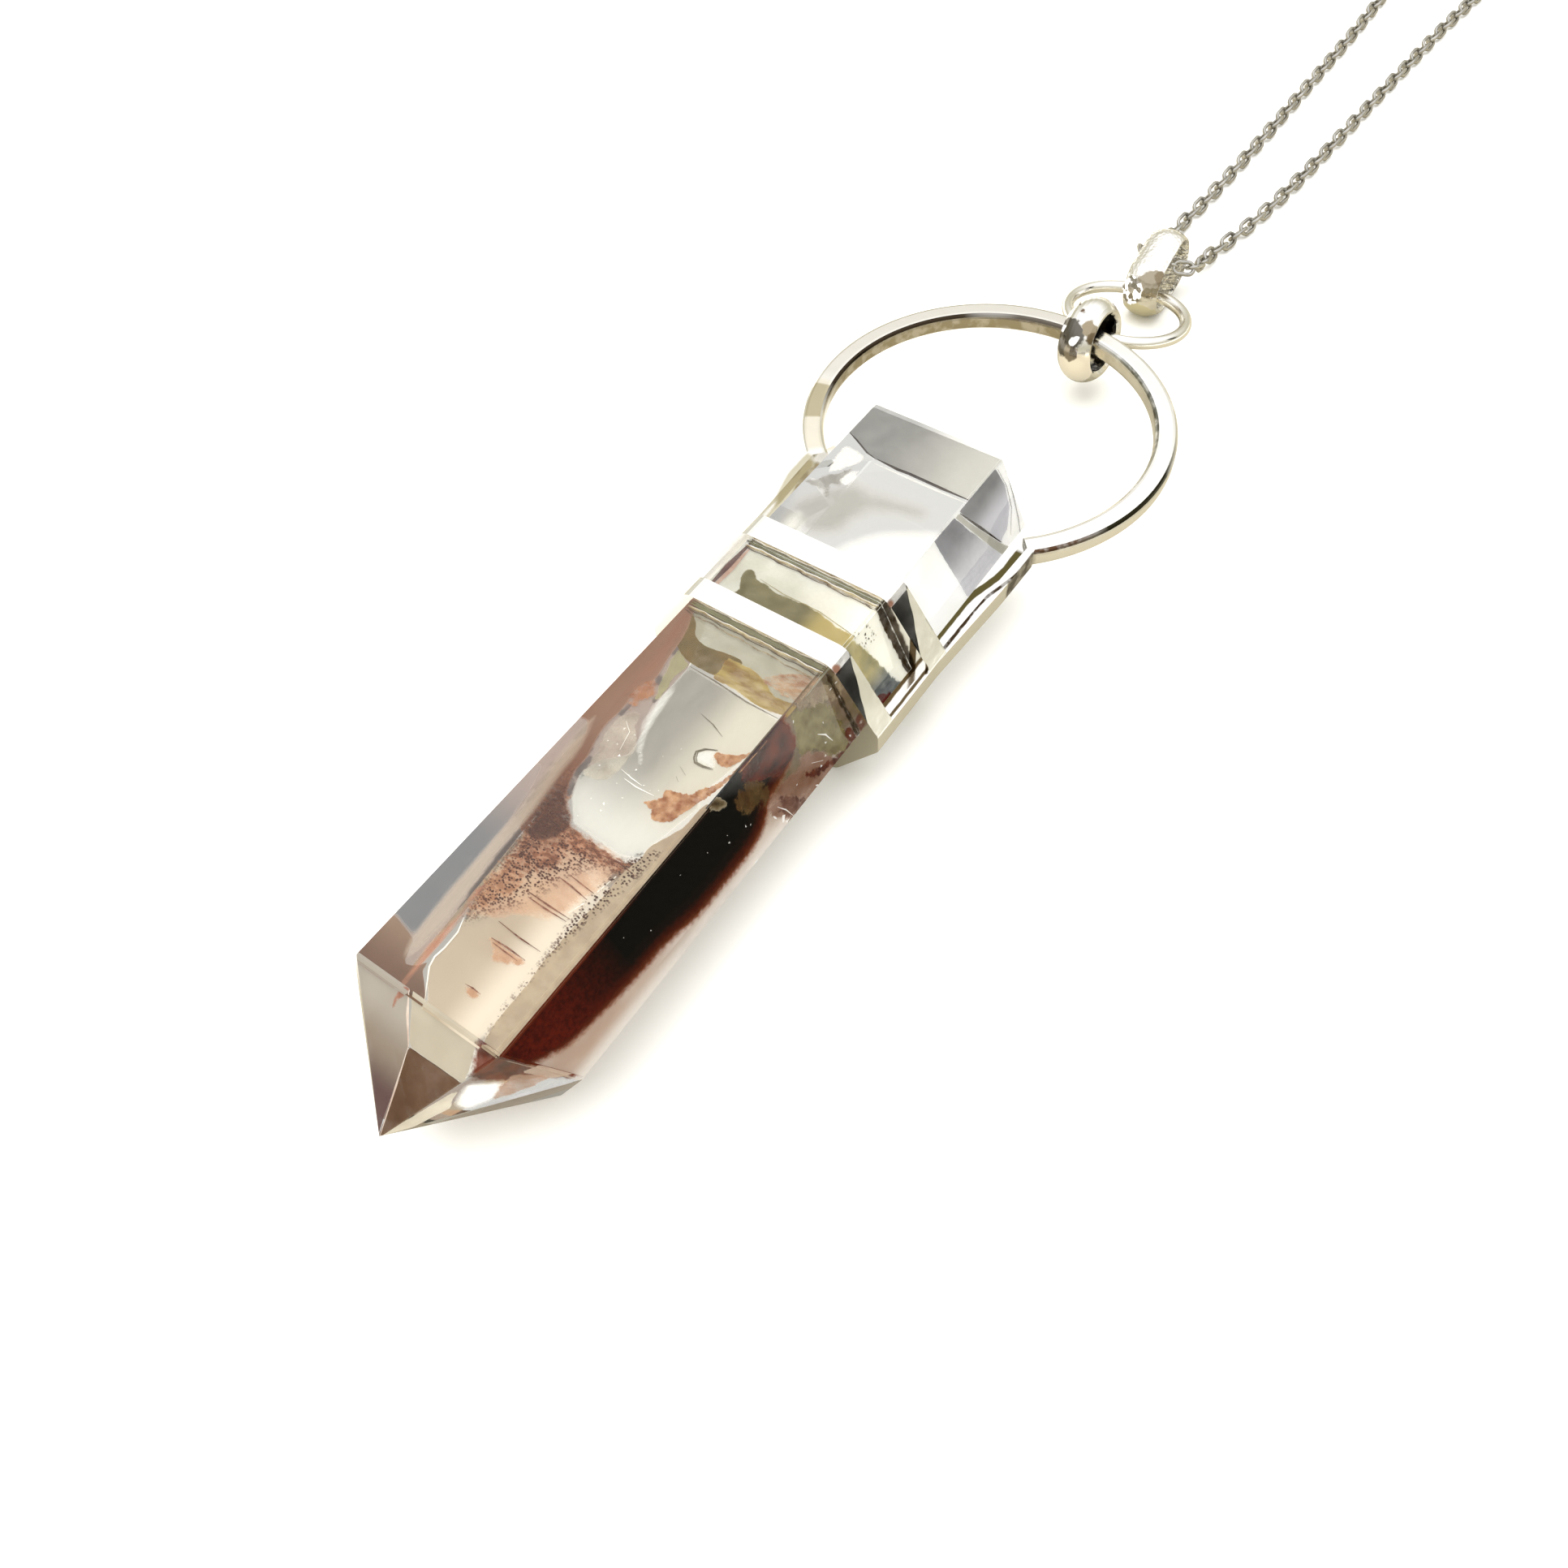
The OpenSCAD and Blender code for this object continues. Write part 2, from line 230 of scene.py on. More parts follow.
def frame_tones(tree, place):
    """Painted reflections and shade for what the frame's rounded edges and narrow rails mirror, told by
    place:
    dark lines along the ring's inner rim on the left and its outer rim on the right, olive rails, a duller
    stretch on the ring's top at the left, and a painted shadow line on the right rail's wall."""
    parts = add(tree, "SeparateXYZ", {"Vector": place})
    x, y, z = parts["X"], parts["Y"], parts["Z"]
    mirrored = add(tree, "Math", {0: x, 1: -1}, operation="MULTIPLY")["Value"]
    rising = add(tree, "SeparateXYZ", {"Vector": add(tree, "NewGeometry")["Normal"]})["Z"]
    sway = add(tree, "TexNoise", {"Vector": place, "Scale": 1 / FRAME_PATCH, "Detail": 3})["Fac"]
    patchy = add(tree, "MapRange", {
        "Value": sway, "From Min": 0.4, "From Max": 0.55, "To Min": 0.6, "To Max": 1,
    })["Result"]
    # How far the surface faces up: one is level, and nought is upright
    tilts = {
        "edge": between(tree, rising, 0.22, 0.9, 0.05),
        "wall": between(tree, rising, -0.3, 0.22, 0.05),
        "top": between(tree, rising, 0.9, 1.1, 0.03),
    }
    colour = ring_tones(tree, x, y, mirrored, tilts, patchy)
    flare = add(tree, "MapRange", {
        "Value": y, "From Min": RAIL_FLARE[0], "From Max": RAIL_FLARE[1],
        "To Min": 0, "To Max": RAIL_FLARE_STEP,
    }, interpolation_type="SMOOTHSTEP")["Result"]
    wander = add(tree, "Math", {0: sway, 1: RAIL_SWAY, 2: flare}, operation="MULTIPLY_ADD")["Value"]
    rails = {
        "right": add(tree, "Math", {0: x, 1: wander}, operation="SUBTRACT")["Value"],
        "left": add(tree, "Math", {0: mirrored, 1: wander}, operation="SUBTRACT")["Value"],
    }
    stretches = {"rear": between(tree, y, 8.8, 21.6, 0.2), "middle": between(tree, y, 1, 6.5, 0.05)}
    for side, low, high, soft, stretch, is_patchy, shade in RAIL_TONES:
        masks = [between(tree, rails[side], low, high, soft), stretches[stretch]]
        colour = tint(tree, colour, shade, *masks, *([patchy] if is_patchy else []))
    # Painted shadow line low on the right rail's inner wall
    return tint(tree, colour, RAIL_STEP_SHADE, tilts["wall"], between(tree, z, *RAIL_STEP_Z, 0.02),
                between(tree, rails["right"], 8.4, 9.8, 0.1), between(tree, y, *RAIL_STEP_Y, 0.1))


def ring_tones(tree, x, y, mirrored, tilts, patchy):
    """The painted reflections and shade of the large ring, with a duller, darker stretch on its top at the
    left, laid over the silver's own colour.
    """
    ahead = add(tree, "Math", {0: y, 1: RING_CENTRE_Y}, operation="SUBTRACT")["Value"]
    turns = {
        "left": add(tree, "Math", {0: ahead, 1: mirrored}, operation="ARCTAN2")["Value"],
        "right": add(tree, "Math", {0: ahead, 1: x}, operation="ARCTAN2")["Value"],
    }
    flat_place = add(tree, "CombineXYZ", {"X": x, "Y": ahead})["Vector"]
    radius = add(tree, "VectorMath", {0: flat_place}, operation="LENGTH")["Value"]
    regions = {
        "inner": between(tree, radius, RING_INNER_RADIUS, RING_MIDDLE_RADIUS, 0.05),
        "outer": between(tree, radius, RING_MIDDLE_RADIUS, RING_OUTER_RADIUS, 0.05),
        "middle": between(tree, radius, 14.9, 16.3, 0.1),
        "soldered": between(tree, mirrored, 9, 18, 0.1),
    }
    colour = SILVER
    for region, tilt, side, low, high, soft, is_patchy, shade in RING_TONES:
        masks = [regions[region], tilts[tilt], between(tree, turns[side], low, high, soft)]
        colour = tint(tree, colour, shade, *masks, *([patchy] if is_patchy else []))
    return colour


BAND_SLOPE = (0.82, 0, 0.572)
BAND_SLOPE_SPREAD = 0.985
BAND_TOP_X = 6.9
BAND_SLOPE_REACH = 2.9
CREASES = [(1.025, 2.05), (8.775, 2.35)]
CREASE_TILT = (-0.12, 0, 0.16)
CREASE_WAVE = 2
CREASE_SWAY = 0.4
CREASE_EDGE = (0.18, 0.24)
CREASE_MARGIN = 0.3
# The bands' top right corners, which get a painted pinkish reflection
BAND_CORNERS = [(6.9, -0.75, 12.6), (6.9, 6.6, 12.6)]
CORNER_PINK_REFLECTION = "#B88A74"
CORNER_SWAY = 0.9
CORNER_REACH = 0.74


def crease(tree, place, wave, normal):
    """Tilts the normal past each crease. A crease is the band's far edge and how far it runs back down the
    side."""
    parts = add(tree, "SeparateXYZ", {"Vector": place})
    flat = add(tree, "NewGeometry")["Normal"]
    facing = add(tree, "VectorMath", {0: flat, 1: BAND_SLOPE}, operation="DOT_PRODUCT")["Value"]
    slope = add(tree, "Math", {0: facing, 1: BAND_SLOPE_SPREAD}, operation="GREATER_THAN")["Value"]
    for far_edge, run in CREASES:
        line = add(tree, "MapRange", {
            "Value": parts["X"], "From Min": BAND_TOP_X, "From Max": BAND_TOP_X + BAND_SLOPE_REACH,
            "To Min": far_edge, "To Max": far_edge - run,
        })["Result"]
        wavy = add(tree, "Math", {0: wave, 1: CREASE_SWAY, 2: line}, operation="MULTIPLY_ADD")["Value"]
        before = add(tree, "Math", {0: wavy, 1: parts["Y"]}, operation="SUBTRACT")["Value"]
        past = add(tree, "MapRange", {
            "Value": before, "From Min": CREASE_EDGE[0], "From Max": CREASE_EDGE[1],
        })["Result"]
        near_edge = far_edge - run - CREASE_MARGIN
        on_band = add(tree, "Math", {0: parts["Y"], 1: near_edge}, operation="GREATER_THAN")["Value"]
        amount = overlap(tree, past, on_band, slope)
        tilt = add(tree, "VectorMath", {0: CREASE_TILT, "Scale": amount}, operation="SCALE")["Vector"]
        normal = add(tree, "VectorMath", {0: normal, 1: tilt}, operation="ADD")["Vector"]
    return add(tree, "VectorMath", {0: normal}, operation="NORMALIZE")["Vector"]


def creased_silver():
    """The frame's polished silver. Where each band was bent down its right side, the hammer left a flat
    facet along a diagonal crease, and it mirrors the dark end of the room."""
    material, tree, place = new_material("polished_creased_silver")
    wave = add(tree, "TexNoise", {"Vector": place, "Scale": 1 / CREASE_WAVE, "Detail": 1})["Fac"]
    gloss, normal = buffed(tree, place)
    # Painted reflections and shade told by place, then a painted pinkish reflection at the bands' corners
    colour = frame_tones(tree, place)
    for corner in BAND_CORNERS:
        away = add(tree, "VectorMath", {0: place, 1: corner}, operation="DISTANCE")["Value"]
        ragged = add(tree, "Math", {0: wave, 1: CORNER_SWAY, 2: away}, operation="MULTIPLY_ADD")["Value"]
        colour = tint(tree, colour, CORNER_PINK_REFLECTION, between(tree, ragged, -1, CORNER_REACH, 0.1))
    finish_silver(tree, {
        "Base Color": colour, "Roughness": gloss, "Normal": crease(tree, place, wave, normal),
    })
    return material


DOME_WAVE = 0.9091
DOME_PUSH = 1.2
HAMMER_MARK = 0.4167
HAMMERED_SHARE = 0.42
# Painted reflections, shade and highlights on the ring link, and two small brown pits: each spot is its place
# and reach in mm, its colour and how much it glows
RING_LINK_SPOTS = [
    ((2.3, 46.5, 4.6), 1.9, "#EFE8D8", 0.35),
    ((1.9, 50.1, 5.6), 2.85, "#1C1812", 0),
    ((0.6, 47.2, 7.2), 1.75, "#6E6A63", 0.03),
    ((1.6, 46.4, 6.2), 0.7, "#958D7E", 0.06),
    ((2.5, 47.9, 8.3), 0.75, "#A4977F", 0.05),
    ((2.8, 47.7, 7.4), 0.6, "#7C6C54", 0),
    ((-0.07, 47.83, 7.49), 0.46, "#FFFFFF", 1),
    ((1.5, 46.8, 7.3), 0.52, "#FFFFFF", 1),
    ((0.4, 50.1, 8.9), 0.2, "#5E4A34", 0),
    ((1.05, 48.95, 9), 0.2, "#6E5A44", 0),
]
# Painted reflections and shade on the bail, its lowest part a painted pale glow: place, reach, colour, glow
BAIL_SPOTS = [
    ((2, 61.5, 1), 1.9, "#CFC8A8", 0.3),
    ((2.6, 61.8, 4.6), 1.3, "#A89E8A", 0.05),
    ((3.4, 62.6, 5), 0.8, "#8E806A", 0),
]
# The place and reach of the bail's hammered facets, a share of which is painted as glowing white glints
BAIL_HAMMERED = ((1, 61.3, 3.6), 1.3)


def near(tree, place, centre, reach, soft):
    """A mask that is one within reach of a centre, easing off over soft."""
    away = add(tree, "VectorMath", {0: place, 1: centre}, operation="DISTANCE")["Value"]
    return between(tree, away, -1, reach, soft)


def domed_silver(name, spots, hammered=None):
    """A cast, domed link's silver. It carries painted reflections of its small, close surroundings in
    patches,
    with painted shade and highlights: each spot is its place and reach in mm, its colour and how much it
    glows. Hammered is the place and reach of the hammer's facets, a share of which are painted as glowing
    white glints."""
    material, tree, place = new_material(name)
    gloss, normal = buffed(tree, place)
    wave = add(tree, "TexNoise", {"Vector": place, "Scale": 1 / DOME_WAVE, "Detail": 3})["Color"]
    bent = add(tree, "VectorMath", {0: wave, 1: (0.5, 0.5, 0.5)}, operation="SUBTRACT")["Vector"]
    push = add(tree, "VectorMath", {0: bent, "Scale": DOME_PUSH}, operation="SCALE")["Vector"]
    moved = add(tree, "VectorMath", {0: place, 1: push}, operation="ADD")["Vector"]
    colour = SILVER
    shine = 0
    for centre, reach, shade, glow in spots:
        mask = near(tree, moved, centre, reach, 0.08)
        colour = tint(tree, colour, shade, mask)
        shine = add(tree, "Mix", {"Factor": mask, "A": shine, "B": glow}, data_type="FLOAT")["Result"]
    if hammered:
        # Painted glints: a share of the hammer's facets is painted white and glows, over a painted grey
        cells = add(tree, "TexVoronoi", {"Vector": place, "Scale": 1 / HAMMER_MARK})
        pick = add(tree, "SeparateColor", {"Color": cells["Color"]})["Red"]
        bright = add(tree, "Math", {0: pick, 1: 1 - HAMMERED_SHARE}, operation="GREATER_THAN")["Value"]
        around = near(tree, moved, *hammered, 0.1)
        lit = overlap(tree, bright, around)
        shine = add(tree, "Math", {0: shine, 1: lit}, operation="MAXIMUM")["Value"]
        colour = tint(tree, colour, "#A8A298", around)
        colour = tint(tree, colour, "#FFFFFF", lit)
        normal = add(tree, "Bump", {
            "Height": cells["Distance"], "Strength": 0.4, "Distance": 0.12 * MM,
        })["Normal"]
    finish_silver(tree, {
        "Base Color": colour, "Roughness": gloss, "Normal": normal,
        "Emission Color": colour, "Emission Strength": shine,
    })
    return material


WIRE_STAIN = 1.111


def chain_silver():
    """Drawn silver wire, darker and paler in patches at random, which gives the chain its grey tone."""
    material, tree, place = new_material("darkened_silver_wire")
    tone = add(tree, "TexNoise", {"Vector": place, "Scale": 1 / WIRE_STAIN, "Detail": 2})["Fac"]
    colour = tint(tree, "#8E8C88", "#E4E1DA", tone)
    surface = add(tree, "BsdfPrincipled", {"Base Color": colour, "Metallic": 1, "Roughness": 0.22})["BSDF"]
    add(tree, "OutputMaterial", {"Surface": surface})
    return material


INNER_MIRRORINGS = 2.5


def polished_quartz():
    """Cut and polished rock crystal: clear, with light passing to the table under it. Where light has been
    mirrored inside it three times, it ends in a painted pale glow, an emission standing for light that has
    spread evenly."""
    material, tree, _ = new_material("polished_rock_crystal")
    surface = add(tree, "BsdfPrincipled", {
        "Base Color": "#FBFAF6", "Roughness": 0, "IOR": 1.544, "Transmission Weight": 1,
    })["BSDF"]
    passing = add(tree, "BsdfTransparent", {"Color": "#F8F6F2"})["BSDF"]
    spread = add(tree, "Emission", {"Color": "#D9D9D7", "Strength": 1})["Emission"]
    ray = add(tree, "LightPath")
    both = add(tree, "MixShader", {0: ray["Is Shadow Ray"], 1: surface, 2: passing})["Shader"]
    spent = add(tree, "Math", {
        0: ray["Glossy Depth"], 1: INNER_MIRRORINGS,
    }, operation="GREATER_THAN")["Value"]
    whole = add(tree, "MixShader", {0: spent, 1: both, 2: spread})["Shader"]
    add(tree, "OutputMaterial", {"Surface": whole})
    return material


# Where each of the table's painted reflection and glow tones begins and where it has taken over
TABLE_LAMP_Y = (8, 14)
TABLE_FAR_X = (26, 36)
TABLE_LEFT_X = (-12, -16)
TABLE_CREAM_X = (-8, 1.5)
TABLE_CLEAR_Y = (-2, 6)


def table_white():
    """Matt white table, paper white to the eye. For the silver's reflections it is painted olive and dim
    under the pendant, a painted pool of lamp light to the right of the ring, and painted dark to the right of
    the point. Seen through the crystal it is a painted glow, an emission that stands for the light the
    crystal gathers below itself, grey on its left and cream on its right."""
    material, tree, place = new_material("matt_white_table")
    parts = add(tree, "SeparateXYZ", {"Vector": place})
    ray = add(tree, "LightPath")
    lamp_side = add(tree, "MapRange", {
        "Value": parts["Y"], "From Min": TABLE_LAMP_Y[0], "From Max": TABLE_LAMP_Y[1],
    })["Result"]
    away = add(tree, "MapRange", {
        "Value": parts["X"], "From Min": TABLE_FAR_X[0], "From Max": TABLE_FAR_X[1],
    })["Result"]
    left = add(tree, "MapRange", {
        "Value": parts["X"], "From Min": TABLE_LEFT_X[0], "From Max": TABLE_LEFT_X[1],
    })["Result"]
    outer = tint(tree, "#4E4B42", "#F2F1E8", lamp_side)
    mirrored = tint(tree, tint(tree, "#AFA894", outer, away), "#EFECE4", left)
    gathered = add(tree, "MapRange", {
        "Value": parts["X"], "From Min": TABLE_CREAM_X[0], "From Max": TABLE_CREAM_X[1],
    }, interpolation_type="SMOOTHSTEP")["Result"]
    clear = add(tree, "MapRange", {
        "Value": parts["Y"], "From Min": TABLE_CLEAR_Y[0], "From Max": TABLE_CLEAR_Y[1],
    })["Result"]
    bent = tint(tree, tint(tree, "#B4B1AB", "#F4EFE4", gathered), "#E9E9E7", clear)
    colour = tint(tree, mirrored, "#FFFFFD", ray["Is Camera Ray"])
    surface = add(tree, "BsdfDiffuse", {"Color": colour})["BSDF"]
    glow = add(tree, "Emission", {"Color": bent, "Strength": 1})["Emission"]
    both = add(tree, "MixShader", {0: ray["Is Transmission Ray"], 1: surface, 2: glow})["Shader"]
    add(tree, "OutputMaterial", {"Surface": both})
    return material


# Chain

ROUTE = [
    (-0.9, 190, 1.52), (-14, 188.5, 0.82), (-28, 181, 0.82), (-38, 168, 0.82),
    (-40.5, 152, 0.82), (-34, 135, 0.82), (-22, 119, 0.82), (-11, 106, 0.82),
    (-4, 93, 0.82), (-1, 79, 0.82), (-0.2, 63, 0.82), (-0.2, 46, 0.82),
    (-0.3, 31, 0.82), (-0.6, 19, 0.82), (-1, 12.5, 0.82), (-0.9, 9.3, 1.2),
    (-0.9, 6.4, 2.1), (-1.3, 4, 2.8), (-1, 2.4, 3.1), (0.4, 2.1, 3.2),
    (2.4, 2.1, 3.2), (3.7, 2.4, 3.1), (4.3, 4.3, 2.5), (4, 6.5, 1.6),
    (4, 8.8, 1), (4.4, 11.5, 0.82), (5.4, 17, 0.82), (6.3, 25, 0.82),
    (7.1, 37, 0.82), (8, 53, 0.82), (9.2, 70, 0.82), (11.5, 86, 0.82),
    (18, 102, 0.82), (29, 116, 0.82), (40, 129, 0.82), (47.5, 143, 0.82),
    (48, 158, 0.82), (42, 172, 0.82), (29, 184.5, 0.82), (11.9, 190, 1.52),
]
ROUTE_LOWEST = 0.82
ROUTE_STEPS = 12
LINK_LENGTH = 2.62
LINK_WIDTH = 1.6
LINK_WIRE = 0.42
LINK_PITCH = 1.75
LINK_CORNER_STEPS = 4
LINK_WOBBLE = 0.12
LINK_SEED = 4
WIRE_SIDES = 6


def route_curve():
    """The smooth curve through the route's points, in metres, as a list of points."""
    low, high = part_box("chain_bail")
    start = Vector((0, (low.y + high.y) / 2, 0))
    points = [Vector(p) * MM + start for p in ROUTE]
    lowest = ROUTE_LOWEST * MM
    curve = []
    for i in range(len(points) - 1):
        a, b, c, d = (points[max(0, min(len(points) - 1, i + k))] for k in (-1, 0, 1, 2))
        for step in range(ROUTE_STEPS):
            f = step / ROUTE_STEPS
            cubic = (3 * b - a - 3 * c + d) * f ** 3
            p = 0.5 * (2 * b + (c - a) * f + (2 * a - 5 * b + 4 * c - d) * f ** 2 + cubic)
            p.z = max(p.z, lowest)
            curve.append(p)
    curve.append(points[-1])
    return curve


def link_wire(tree, given):
    """One cable link: a flat oval of round wire."""
    wire = given["Wire diameter"]
    long_side = add(tree, "Math", {0: given["Link length"], 1: wire}, operation="SUBTRACT")["Value"]
    short_side = add(tree, "Math", {0: given["Link width"], 1: wire}, operation="SUBTRACT")["Value"]
    bend = add(tree, "Math", {0: short_side, 1: 0.499}, operation="MULTIPLY")["Value"]
    outline = add(tree, "GeometryNodeCurvePrimitiveQuadrilateral",
                  {"Width": long_side, "Height": short_side})
    oval = add(tree, "GeometryNodeFilletCurve", {
        "Curve": outline["Curve"], "Count": LINK_CORNER_STEPS, "Radius": bend,
    }, mode="POLY")
    radius = add(tree, "Math", {0: wire, 1: 0.5}, operation="MULTIPLY")["Value"]
    section = add(tree, "GeometryNodeCurvePrimitiveCircle", {"Resolution": WIRE_SIDES, "Radius": radius})
    return add(tree, "GeometryNodeCurveToMesh", {
        "Curve": oval["Curve"], "Profile Curve": section["Curve"],
    })["Mesh"]


def link_turn(tree):
    """Turns each link along the chain, and a quarter round it against its neighbours, with a little
    wobble."""
    tangent = add(tree, "GeometryNodeInputTangent")["Tangent"]
    along = add(tree, "FunctionNodeAlignRotationToVector", {"Vector": tangent}, axis="X")["Rotation"]
    index = add(tree, "GeometryNodeInputIndex")["Index"]
    every_other = add(tree, "Math", {0: index, 1: 2}, operation="MODULO")["Value"]
    quarter = add(tree, "Math", {
        0: every_other, 1: math.pi / 2, 2: math.pi / 4,
    }, operation="MULTIPLY_ADD")["Value"]
    wobble = add(tree, "FunctionNodeRandomValue", {
        "Min": -LINK_WOBBLE, "Max": LINK_WOBBLE, "Seed": LINK_SEED,
    }, data_type="FLOAT")[1]
    roll = add(tree, "Math", {0: quarter, 1: wobble}, operation="ADD")["Value"]
    turn = add(tree, "FunctionNodeEulerToRotation",
               {"Euler": add(tree, "CombineXYZ", {"X": roll})["Vector"]})
    return add(tree, "FunctionNodeRotateRotation", {
        "Rotation": along, "Rotate By": turn["Rotation"],
    }, rotation_space="LOCAL")["Rotation"]


def link_tree(material):
    """Geometry nodes that lay cable links along a line."""
    tree = bpy.data.node_groups.new("cable_links", "GeometryNodeTree")
    face = tree.interface
    face.new_socket("Line", in_out="INPUT", socket_type="NodeSocketGeometry")
    for name in ("Link length", "Link width", "Wire diameter"):
        face.new_socket(name, in_out="INPUT", socket_type="NodeSocketFloat")
    face.new_socket("Link count", in_out="INPUT", socket_type="NodeSocketInt")
    face.new_socket("Links", in_out="OUTPUT", socket_type="NodeSocketGeometry")
    given = add(tree, "NodeGroupInput")
    line = add(tree, "GeometryNodeMeshToCurve", {"Mesh": given["Line"]})["Curve"]
    spots = add(tree, "GeometryNodeResampleCurve", {
        "Curve": line, "Count": given["Link count"],
    }, mode="COUNT")
    links = add(tree, "GeometryNodeInstanceOnPoints", {
        "Points": spots["Curve"], "Instance": link_wire(tree, given), "Rotation": link_turn(tree),
    })["Instances"]
    real = add(tree, "GeometryNodeRealizeInstances", {"Geometry": links})["Geometry"]
    smooth = add(tree, "GeometryNodeSetShadeSmooth", {"Geometry": real})["Geometry"]
    finish = add(tree, "GeometryNodeSetMaterial", {"Geometry": smooth, "Material": material})["Geometry"]
    add(tree, "NodeGroupOutput", {"Links": finish})
    return tree


def apply_tree(name, mesh, tree, inputs):
    """Runs a geometry node tree on a mesh and returns the result as a plain mesh object."""
    source = bpy.data.objects.new(name + "_source", mesh)
    bpy.context.scene.collection.objects.link(source)
    modifier = source.modifiers.new(tree.name, "NODES")
    modifier.node_group = tree
    for item in tree.interface.items_tree:
        if item.in_out == "INPUT" and item.name in inputs:
            modifier[item.identifier] = inputs[item.name]
    ready = source.evaluated_get(bpy.context.evaluated_depsgraph_get())
    made = bpy.data.meshes.new_from_object(ready)
    made.name = name
    bpy.data.objects.remove(source)
    piece = bpy.data.objects.new(name, made)
    bpy.context.scene.collection.objects.link(piece)
    return piece


def make_chain(material):
    points = route_curve()
    length = sum((b - a).length for a, b in zip(points, points[1:]))
    line = bpy.data.meshes.new("chain_line")
    line.from_pydata(points, [(i, i + 1) for i in range(len(points) - 1)], [])
    piece = apply_tree("cable_chain_links", line, link_tree(material), {
        "Link length": LINK_LENGTH * MM,
        "Link width": LINK_WIDTH * MM,
        "Wire diameter": LINK_WIRE * MM,
        "Link count": round(length / (LINK_PITCH * MM)),
    })
    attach(piece, "root")
    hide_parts("chain")


# Crystal's inside: sheets of stain, mist and healed cracks, each parallel to a face of the point

TOP_Z = 12.35
TOP_HALF = 6.15
SIDE_X = 9
SIDE_Z = 6.5
LOW_Z = 0.65
END_Y = 25
SHOULDERS = [
    (TOP_HALF, -36.2, TOP_Z), (SIDE_X, -33.4, SIDE_Z), (TOP_HALF, -34.1, LOW_Z),
    (-TOP_HALF, -35.92, LOW_Z), (-SIDE_X, -36.2, SIDE_Z), (-TOP_HALF, -36.2, TOP_Z),
]
TIP = (0.3, -43.5, 5.9)
WALL_SPACE = 0.02
LINE_TAPER = 0.3


def point_facet(a, b):
    """A facet of the point: the middle of its edge from a to b, the way across it and the way to the tip."""
    a, b = Vector(a), Vector(b)
    middle = (a + b) / 2
    across = (b - a).normalized()
    along = Vector(TIP) - middle
    return middle, across, (along - across * along.dot(across)).normalized()


# Each face: where its measures start, the way across it and the way along it
FACES = {
    "top": (Vector((0, 0, TOP_Z)), Vector((1, 0, 0)), Vector((0, 1, 0))),
    "right": (
        Vector((TOP_HALF, 0, TOP_Z)),
        Vector((SIDE_X - TOP_HALF, 0, SIDE_Z - TOP_Z)).normalized(),
        Vector((0, 1, 0)),
    ),
    "point_top": point_facet(SHOULDERS[5], SHOULDERS[0]),
    "point_right": point_facet(SHOULDERS[0], SHOULDERS[1]),
}


def crystal_walls():
    """A point on each side and point facet of the crystal, with the direction that it faces."""
    walls = [(Vector((0, END_Y, 0)), Vector((0, 1, 0)))]
    middle = Vector((0, 0, SIDE_Z))
    tip = Vector(TIP)
    corners = [Vector(c) for c in SHOULDERS]
    for a, b in zip(corners, corners[1:] + corners[:1]):
        side = (b - a).cross(Vector((0, 1, 0))).normalized()
        facet = (b - a).cross(tip - a).normalized()
        for normal in (side, facet):
            if normal.dot(a - middle) < 0:
                normal.negate()
            walls.append((a, normal))
    return walls


def inset_from(outline, a, b):
    """How far a point lies inside a closed outline, and below zero outside it."""
    nearest = 1e9
    inside = False
    for (a0, b0), (a1, b1) in zip(outline, outline[1:] + outline[:1]):
        da, db = a1 - a0, b1 - b0
        f = max(0, min(1, ((a - a0) * da + (b - b0) * db) / (da * da + db * db)))
        nearest = min(nearest, math.hypot(a - a0 - f * da, b - b0 - f * db))
        if (b0 > b) != (b1 > b) and a < a0 + (b - b0) * da / db:
            inside = not inside
    return nearest if inside else -nearest


def rounded(outline):
    """The outline with its corners eased by a smooth curve through its points."""
    steps = 3
    eased = []
    count = len(outline)
    for i in range(count):
        p, q, r, t = (Vector(outline[(i + k) % count]) for k in (-1, 0, 1, 2))
        for step in range(steps):
            f = step / steps
            point = 0.5 * (2 * q + (r - p) * f + (2 * p - 5 * q + 4 * r - t) * f ** 2
                           + (3 * q - p - 3 * r + t) * f ** 3)
            eased.append(tuple(point))
    return eased


def face_at_depth(face, depth):
    """A face's start, its way across and its way along, moved that deep into the crystal."""
    start, across, along = FACES[face]
    outward = across.cross(along)
    if outward.dot(start - Vector((0, start.y, SIDE_Z))) < 0:
        outward.negate()
    return start - outward * depth, across, along


def trim_to_crystal(mesh):
    """Cuts off what would reach past the crystal's sides and point facets."""
    for place, normal in crystal_walls():
        everything = mesh.verts[:] + mesh.edges[:] + mesh.faces[:]
        bmesh.ops.bisect_plane(mesh, geom=everything, plane_co=place - normal * WALL_SPACE, plane_no=normal,
                               clear_outer=True)


def keep_inside(name, mesh, material):
    """Turns a mesh of the crystal's inside into a piece that moves with it."""
    bmesh.ops.scale(mesh, vec=(MM, MM, MM), verts=mesh.verts)
    data = bpy.data.meshes.new(name)
    mesh.to_mesh(data)
    mesh.free()
    data.materials.append(material)
    piece = bpy.data.objects.new(name, data)
    bpy.context.scene.collection.objects.link(piece)
    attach(piece, "root")


